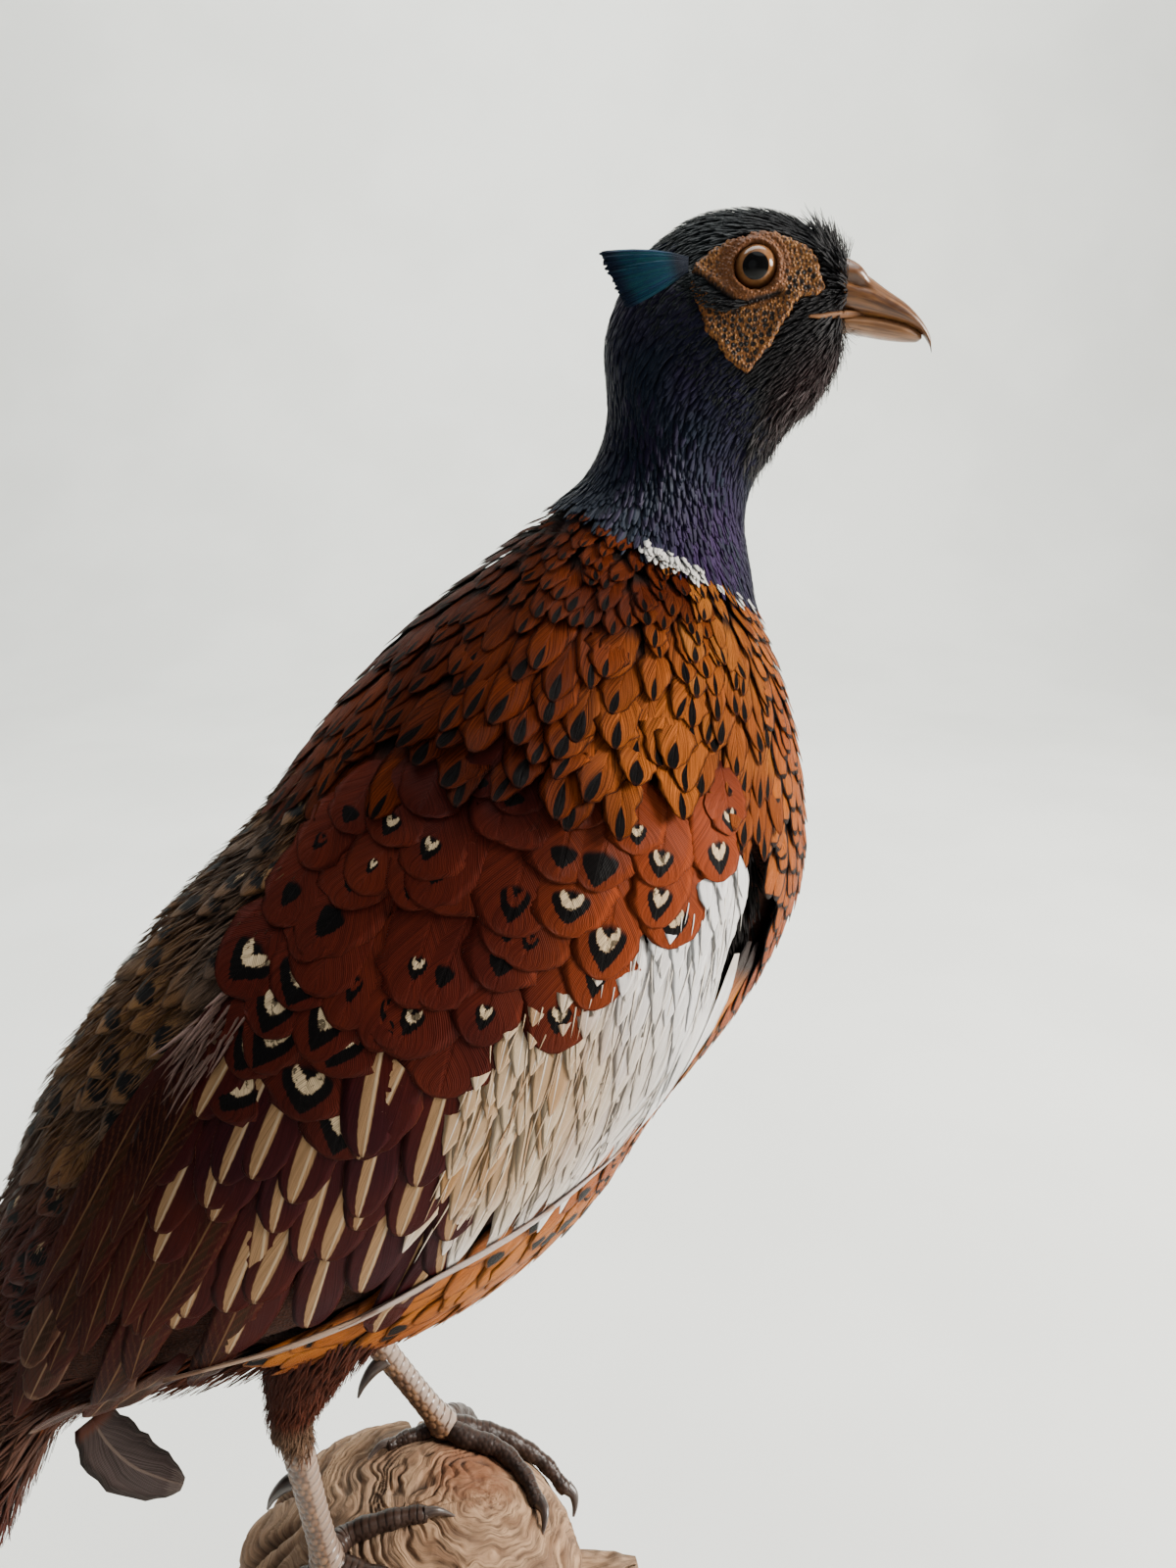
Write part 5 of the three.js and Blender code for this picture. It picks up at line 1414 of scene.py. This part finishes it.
# ear tufts: blades of fine teal feathers, cut square at the end
def makeEarTufts():
    look = dict(ground=(0.004, 0.062, 0.078), second=(0.006, 0.030, 0.075), tip=((0.003, 0.010, 0.030), 0.78),
                metallic=0.1, specular=0.15, sheen=0.0, root=((0.003, 0.006, 0.014), 0.4), barbDepth=0.5,
                bumpDepth=0.0001)
    path = np.array([[89, 383.0, 16.6, 1.6], [84, 382.2, 18.6, 3.4], [77.5, 380.8, 19.8, 5.2],
                     [70.8, 379.4, 19.4, 6.4]])  # x, height, distance out, half height of the tuft
    material = featherMaterial("earTuftVane", look)
    count, s, q = 520, rowsAlong(7), np.linspace(-1, 1, 3)
    for word, side in sides.items():
        rng = np.random.default_rng(121)
        share = rng.uniform(-1, 1, count)
        row = splineAt(path, np.broadcast_to(3 * s, (count, len(s))))
        h = row[..., 1] + row[..., 3] * share[:, None]
        x = row[..., 0] - 3.4 * share[:, None] * s + rng.normal(0, 0.45, count)[:, None] * s
        out = row[..., 2] + rng.uniform(-0.9, 0.5, count)[:, None] + 0.35 * np.cos(share * 3)[:, None]
        half = 0.4 * (0.5 + 0.5 * ease(s, 0, 0.4)) * np.where(s > 0.99, 0.6, 1)
        own = lambda x, out, h: turned(x, side * out, h + perch)
        top = own(x[..., None], out[..., None] + 0.14 - 0.2 * q**2, h[..., None] + q * half[:, None])
        if side < 0:
            top = top[:, :, ::-1]
        roots = joined(0.19, 0.5 + side * (0.28 + 0.02 * share))
        putVanes("earTuft_" + word, top, own(x, out - 0.1, h), roots,
                 {"tone": rng.uniform(0, 1, count), "kind": rng.uniform(0, 1, count)}, material,
                 ("ear_tuft_" + word,))
    print("ear tufts")


# a loose feather hanging from the vent, soft and grey-brown
def makeLooseFeather():
    path = np.array([[-97, -13, 371, 5.5], [-94, -14, 362, 8.5], [-88, -16, 353, 8.5], [-80, -17, 346, 6],
                     [-75, -18, 343, 2]])
    look = dict(ground=(0.050, 0.034, 0.030), second=(0.040, 0.026, 0.024), barbs=34.0, slant=26.0,
                barbDepth=0.8, ragged=0.2, shaft=(0.10, 0.07, 0.055), edge=((0.10, 0.075, 0.065), 0.8, 0.7),
                root=((0.06, 0.02, 0.012), 0.2))
    row = splineAt(path, np.linspace(0, 4, 14))
    line = row[:, :3]
    along = unit(np.gradient(line, axis=0))
    normal = unit(np.cross(along, np.array([0.75, 0.5, 0.45])))
    ragged = 0.95 + 0.057 * np.sin(np.arange(14) * 2.3)
    arch = np.broadcast_to(0.3 - np.linspace(-1, 1, 7)**2, (14, 7))
    grid = acrossLine(line, unit(np.cross(normal, along)), row[:, 3] * ragged, normal, arch)
    putBlade("looseFeather", grid, line - normal * 0.5, (0.81, 0.6), 0.5, featherMaterial("looseVane", look),
             ("loose_feather",))


for build in (makeHeadFeathers, makeNeckFeathers, makeMantle, makeGoldenSide, makeBreast, makeScapulars,
              makeWhiteCoverts, makeSecondaries, makeWingRim, makeFlank, makeBelly, makeRump, makeTailCoverts,
              makeTail, makeEarTufts, makeLooseFeather):
    build()
print("plumage")


# smooth noise from seeded random values on a lattice, blended between the corners of each cell
def latticeNoise(x, y, z, seed):
    lattice = 17
    values = np.random.default_rng(seed).uniform(-1, 1, (lattice, lattice, lattice))
    place = joined(x, y, z)
    cell = np.floor(place).astype(int)
    part = place - cell
    part = part * part * (3 - 2 * part)
    total = 0.0
    for corner in np.ndindex(2, 2, 2):
        weight = np.where(corner, part, 1 - part).prod(-1)
        i, j, k = np.moveaxis((cell + corner) % lattice, -1, 0)
        total = total + weight * values[i, j, k]
    return total


knob = dict(centre=np.array([-7.0, -3.0, 248.7]), radii=np.array([61.8, 62.1, 46.7]), clearance=0.2)


# out from the knob's middle until a ball of that radius clears the wood
def onKnob(p, radius):
    away = unit(np.asarray(p, float) - knob["centre"])
    scaled = away / knob["radii"]
    lean = (unit(scaled / knob["radii"]) * away).sum(-1)
    return knob["centre"] + away * (1 / np.linalg.norm(scaled) + (radius + knob["clearance"]) / lean)


# pale and dark skin mixed by broad noise, tinted at the front and in the hollows
def legMaterial(name, pale, dark, groove, frontTint, gloss):
    material, tree = newMaterial(name)
    hollow, front = held(tree, "hollow"), held(tree, "front")
    mottling = useGroup(tree, mottleGroup, Size=160.0, Fine=1200.0)
    tone = between(mottling["Broad"], dark, pale).mixed(frontTint, front * 0.7).mixed(groove, hollow * 0.85)
    return finished(material, {
        "Base Color": tone.mixed(dark, mottling["Grain"] * 0.3), "Roughness": front * -0.16 + 0.46,
        "Specular IOR Level": 0.2 + gloss, "Coat Weight": gloss, "Coat Roughness": 0.35},
        (0.4, 0.0002, mottling["Grain"]))


# lengths in mm: radii, claws, plates down the front, six-sided scales round the rest
legSizes = dict(shank=4.4, foot=5.0, toeTip=3.3, hindRoot=3.5, hindTip=2.5, frontClaw=10.0, hindClaw=8.0,
                plate=3.6, scale=2.9, toePlate=2.5, toeScale=1.9)


# a scaled rod: overlapping plates down its front as a saw along its run, and round the rest six-sided
# scales as the sum of three cosines; knuckles are a long wave where their length isn't 0
def scaledRod(name, rows, across, turns, rings, plate, scale, knuckles, material, hides, wide=0.75,
              relief=1.0, frontAt=90.0):
    last = len(rows) - 1
    t, a = gridOf(last, rings, turns)
    centre = splineAt(rows[:, :3], t[:, 0])
    run = runOf(centre)[:, None] + 0 * a
    around = (a - np.radians(frontAt) + np.pi) % circle - np.pi
    radius = splineAt(rows, t)[..., 3]
    front = 1 - ease(np.abs(around), wide, wide + 0.2)
    paired = plate > 3
    saw = (run / plate + 0.5 * (around > 0) * paired + 0.06 * np.sin(around * 3)) % 1.0
    overlap = 0.30 * (1 - saw) * ease(saw, 0.0, 0.12)
    crack = 1 - ease(np.minimum(saw, 1 - saw), 0.02, 0.12)
    middle = paired * bell(around * radius, 0.35)
    along = circle * run / scale
    side = np.round(circle * radius.mean() / scale / 1.15) * around
    cells = np.cos(along) + np.cos(0.5 * along + side) + np.cos(0.5 * along - side)
    rise = relief * (front * (overlap - 0.22 * crack - 0.2 * middle)
                     + (1 - front) * (0.32 * ease(cells, -1.5, 0.6) - 0.12))
    hollow = np.clip(front * np.maximum(crack, middle) + (1 - front) * (1 - ease(cells, -1.5, -0.5)), 0, 1)
    if knuckles:
        rise = rise + 0.22 * np.cos(run / knuckles * circle)
    rise = rise * ease(t, 0, 0.15) * ease(last - t, 0, 0.12)
    row = rodAt(rows, t, a, across)
    grid = row + unit(row - centre[:, None]) * rise[..., None]
    putTube(name, grid, material, None, {"hollow": hollow, "front": front}, hides)


# a horn rod with streaks along it
def putHorn(name, rows, rings, turns, across, hides):
    t, a = gridOf(3, rings, turns)
    putTube(name, rodAt(rows, t, a, across), clawHorn, {"along": joined(t / 3, a / 7)}, None, hides)


# scaled shank, spur, toes pressed to the knob, and a claw that bends to it along its length
def makeLegs():
    shankSkin = legMaterial("shankScales", (0.24, 0.125, 0.060), (0.115, 0.055, 0.028), (0.020, 0.009, 0.005),
                            (0.33, 0.245, 0.195), 0.3)
    toeSkin = legMaterial("toeScales", (0.038, 0.020, 0.014), (0.019, 0.010, 0.007), (0.007, 0.004, 0.003),
                          (0.048, 0.029, 0.022), 0.04)
    size = legSizes
    r, f = size["shank"], size["foot"]
    for word, side in sides.items():
        ankle, foot = np.array([legs[word]["ankle"], legs[word]["foot"]], float) + [0, 0, perch]
        place = lambda k: ankle + (foot - ankle) * k
        rows = np.array([[*place(-0.03), r, r + 0.6], [*place(0.2), r - 0.2, r + 0.2],
                         [*place(0.6), r - 0.5, r - 0.2], [*place(0.88), r + 0.2, r],
                         [*foot, f + 0.8, f + 0.4], [*(foot + [0.6, 0, -3.5]), f - 0.6, f - 0.8]])
        scaledRod("shankScaled_" + word, rows, (0, 1, 0), 72, 260, size["plate"], size["scale"], 0, shankSkin,
                  ("shank_" + word,), 1.25)
        # spur from the inner side, pointing back and down
        at = place(0.42) + [0, -side * 1.5, 0]
        spur = [[*(at + [x, y * side, z]), radius, radius] for x, y, z, radius in (
            (-1, 0, 1, 3), (-6, -1, -1.5, 2.3), (-10, -2, -6, 1.3), (-12, -2.4, -10.5, 0.4))]
        putHorn("spurHorn_" + word, spur, 30, 24, (0, 1, 0), ("spur_" + word,))
        for toe, path in legs[word]["toes"].items():
            root, tip, reach, bend = (
                (size["hindRoot"], size["hindTip"], size["hindClaw"], 7.0) if toe == "hind"
                else (f - 0.5, size["toeTip"], size["frontClaw"], 9.0))
            line = [[*(foot + [0, 0, -0.6]), root, root]]
            for k, p in enumerate(path):
                radius = root + (tip - root) * (k + 1) / len(path)
                line.append([*onKnob(np.array(p) + [0, 0, perch], radius), radius, radius])
            rows = np.array(line)
            end = rows[-1, :3]
            outward, along = unit(end - knob["centre"]), unit(end - rows[-2, :3])
            across = unit(np.cross(along, outward))
            # slimmer towards the tip, sunk by as much so that the sole stays on the wood
            body = rows.copy()
            slim = body[:, 3] * np.linspace(0.06, 0.26, len(body))
            body[:, :3] -= unit(body[:, :3] - knob["centre"]) * slim[:, None]
            body[:, 3:] -= slim[:, None]
            upwards = np.cross(along, across) @ outward >= 0
            scaledRod(f"toeScaled_{toe}_{word}", body, across, 44, 130, size["toePlate"], size["toeScale"],
                      bend, toeSkin, (f"toe_{toe}_{word}",), 0.9, 0.6, 90.0 if upwards else -90.0)
            claw = []
            for k in range(4):
                p = end + along * (-1 + (reach + 1) * k / 3)
                radius = (tip - 0.7) * (1 - k / 3) + 0.45 * k / 3
                arch = 0.9 * math.sin(math.pi * min(k / 2.4, 1)) * (k < 3)
                claw.append([*(p + (onKnob(p, radius) - p) * k / 3 + outward * arch), radius * 0.72, radius])
            putHorn(f"clawHorn_{toe}_{word}", claw, 26, 22, across, (f"claw_{toe}_{word}",))
    print("legs")


# height, middle x and y, radii in x and y, depth of the lobes
stumpRows = np.array([
    [0, 0, 0, 112, 88, 9], [8, 0, 0, 110, 87, 9], [34, 1, -1, 90, 74, 9], [80, 3, -3, 70, 63, 8],
    [135, 3, -6, 59, 57, 6], [190, -3, -6, 58, 58, 5], [232, -6, -4, 62, 62, 4], [256, -7, -3, 61.5, 62, 3],
    [273, -7, -3, 54.5, 55, 2], [286, -7, -3, 39.5, 40, 1.2], [293, -7, -3, 23, 24, 0.6],
    [295.4, -7, -3, 5, 5, 0]])
stubRows = np.array([[36, -14, 246, 13, 14], [54, -18, 250, 9, 9], [63, -20, 252.5, 6, 5.5],
                     [71, -21, 253.5, 3, 2.5]])
wood = dict(knot=(20.5, -9.8, 290.2), ringGap=5.6, ringDepth=1.28, grainDepth=0.6, seam=100.0,
            # deep cracks: angle at the top, drift per mm of height, half width, depth, lowest height
            cracks=[(141, 0.05, 1.7, 6.5, 150), (166, -0.06, 2.2, 7.5, 60), (178, 0.05, 1.2, 4.0, 190),
                    (215, 0.04, 1.4, 5.0, 40), (262, -0.05, 1.0, 3.5, 170), (300, 0.05, 1.6, 5.0, 30),
                    (28, 0.06, 1.5, 5.0, 60), (75, -0.04, 1.3, 4.5, 120)])


# pale and brown bands along the grain, dark lines and hollows, red round the knot
def woodMaterial():
    material, tree = newMaterial("driftwoodGrain")
    mottling = useGroup(tree, mottleGroup, Size=26.0, Fine=500.0)
    lines = noise(mapped(tree, "grain", 90.0, 5.0), 1.0, 6.0, 0.65)
    bands = noise(mapped(tree, "grain", 24.0, 3.5), 1.0, 4.0)
    away = awayFrom(tree, (18, 4, 292.5)) + mottling["Grain"] * 0.012
    tone = between(bands.eased(0.35, 0.65), (0.17, 0.084, 0.038), (0.44, 0.265, 0.145))
    for tint, share in (((0.085, 0.045, 0.024), lines.eased(0.36, 0.54, 0.85, 0.0)),
                        ((0.30, 0.21, 0.14), mottling["Broad"] * 0.35),
                        ((0.20, 0.070, 0.026), away.eased(0.010, 0.030, 0.85, 0.0)),
                        ((0.035, 0.02, 0.012), held(tree, "hollow") * 0.9)):
        tone = tone.mixed(tint, share)
    return finished(material, {"Base Color": tone, "Roughness": lines.eased(0.3, 0.7, 0.95, 0.72)},
                    (0.8, 0.0012, lines + mottling["Grain"] * 0.3))


# rows of ovals with a waved edge; rings round a knot at the top pass into upright fibres lower down,
# and both are cut in along the normal with the cracks
def makeStump(material):
    t = np.concatenate([np.linspace(0, 5, 90, endpoint=False), np.linspace(5, 11, 200)])
    start = math.radians(wood["seam"])
    t, a = np.meshgrid(t, start + np.linspace(0, circle, 310, endpoint=False), indexing="ij")
    height, cx, cy, rx, ry, lobe = np.moveaxis(splineAt(stumpRows, t), -1, 0)
    swing, degree = height / 170, np.degrees(a) % 360
    wave = np.sin(3 * a + 0.6 + swing) + 0.6 * np.sin(5 * a - 1.2 * swing) + 0.35 * np.sin(8 * a + 2.1)
    # a rounded rib stands beside the knob at the back left
    rib = (bell(degree - 154 - 0.06 * (250 - height), 9) * ease(height, 130, 190)
           * (1 - ease(height, 268, 284)))
    swell = lobe * (wave - 1.2) / 2 + 5.5 * rib
    x, y = cx + (rx + swell) * np.cos(a), cy + (ry + swell) * np.sin(a)
    grid = joined(x, y, height)
    noiseAt = lambda size, tall, seed: latticeNoise(x / size, y / size, height / tall, seed)
    toKnot = np.linalg.norm(grid - np.array(wood["knot"]), axis=-1)
    warp = 6.5 * noiseAt(24, 30, 3) + 2.6 * noiseAt(8, 11, 4) + 1.1 * noiseAt(3.4, 5, 6)
    upper = ease(height, 205, 266)
    bearing = np.arctan2(y - wood["knot"][1], x - wood["knot"][0])
    across = upper * (toKnot + warp) + (1 - upper) * (58 * (a - start) + warp)
    along = upper * (bearing * 30) + (1 - upper) * height
    ring = (across / wood["ringGap"] + 1.9 * latticeNoise(across / 9, along / 26, 0, 5)) % 1.0
    ridge = np.minimum(ring, 1 - ring) * 2
    fine = (0.6 * latticeNoise(across / 1.3, along / 22, 0.5, 7)
            + 0.6 * latticeNoise(across / 3.1, along / 17, 0, 8) + 0.5 * noiseAt(2.6, 2.6, 9))
    strength = (0.35 + 0.65 * ease(toKnot, 6, 24)) * (0.6 + 0.8 * ease(noiseAt(18, 25, 11), -0.4, 0.5))
    groove = (1 - ease(ridge, 0.05, 0.45)) * strength
    sink = wood["ringDepth"] * groove + wood["grainDepth"] * (1 - fine) * strength
    crackMark = np.zeros_like(x)
    for angle, drift, half, depth, lowest in wood["cracks"]:
        middle = angle + drift * (280 - height) + 3.0 * latticeNoise(height / 18, angle, 0, 13)
        off = np.radians(np.abs((degree - middle + 180) % 360 - 180)) * np.maximum(rx, 20)
        crack = bell(off, half) * ease(height, lowest, lowest + 40) * (1 - ease(height, 279, 289))
        sink = sink + depth * crack
        crackMark = np.maximum(crackMark, crack)
    sink = np.clip(sink * ease(height, 0.5, 6), 0, 9)
    core = joined(cx, cy, np.minimum(height, knob["centre"][2]))
    grid = grid - unit(grid - core) * sink[..., None]
    grid[..., 2] = np.maximum(grid[..., 2], 0.0)
    grid[0, :, 2] = 0.0
    hollow = np.clip(0.75 * groove * ease(fine, 0.6, -0.6) + crackMark * 1.1 + 0.35 * ease(-fine, 0.3, 0.9),
                     0, 1)
    putTube("driftwoodStump", grid, material, {"grain": joined(across, along) * 0.01}, {"hollow": hollow},
            ("driftwood",))


# the splintered stub: a rod cut in by fibres, whose broken ends stop at their own lengths
def makeStub(material):
    t, a = gridOf(3, 150, 120)
    row, centre = rodAt(stubRows, t, a), splineAt(stubRows[:, :3], t)
    splinter = latticeNoise(a * 14 / circle, t * 0.8, 0, 17)
    rough = latticeNoise(row[..., 0] / 4, row[..., 1] / 3, row[..., 2] / 3, 19)
    sink = np.clip((0.8 + 0.9 * rough + 1.1 * (splinter > 0.15)) * ease(t, 0.2, 1.2), 0, 3.0)
    broken = 3.5 * ease(splinter, 0, 0.6) * ease(t, 2, 3)
    grid = row - unit(row - centre) * sink[..., None] - unit(centre[-1, 0] - centre[0, 0]) * broken[..., None]
    hollow = np.clip(0.7 * (splinter > 0.15) * (splinter < 0.35) + 0.4 * ease(-rough, 0.2, 0.7), 0, 1)
    putTube("driftwoodSplinter", grid, material, {"grain": joined(a * 9, t * 22) * 0.01}, {"hollow": hollow},
            ("driftwood_stub",))


makeLegs()
driftwood = woodMaterial()
makeStump(driftwood)
makeStub(driftwood)
print("driftwood")
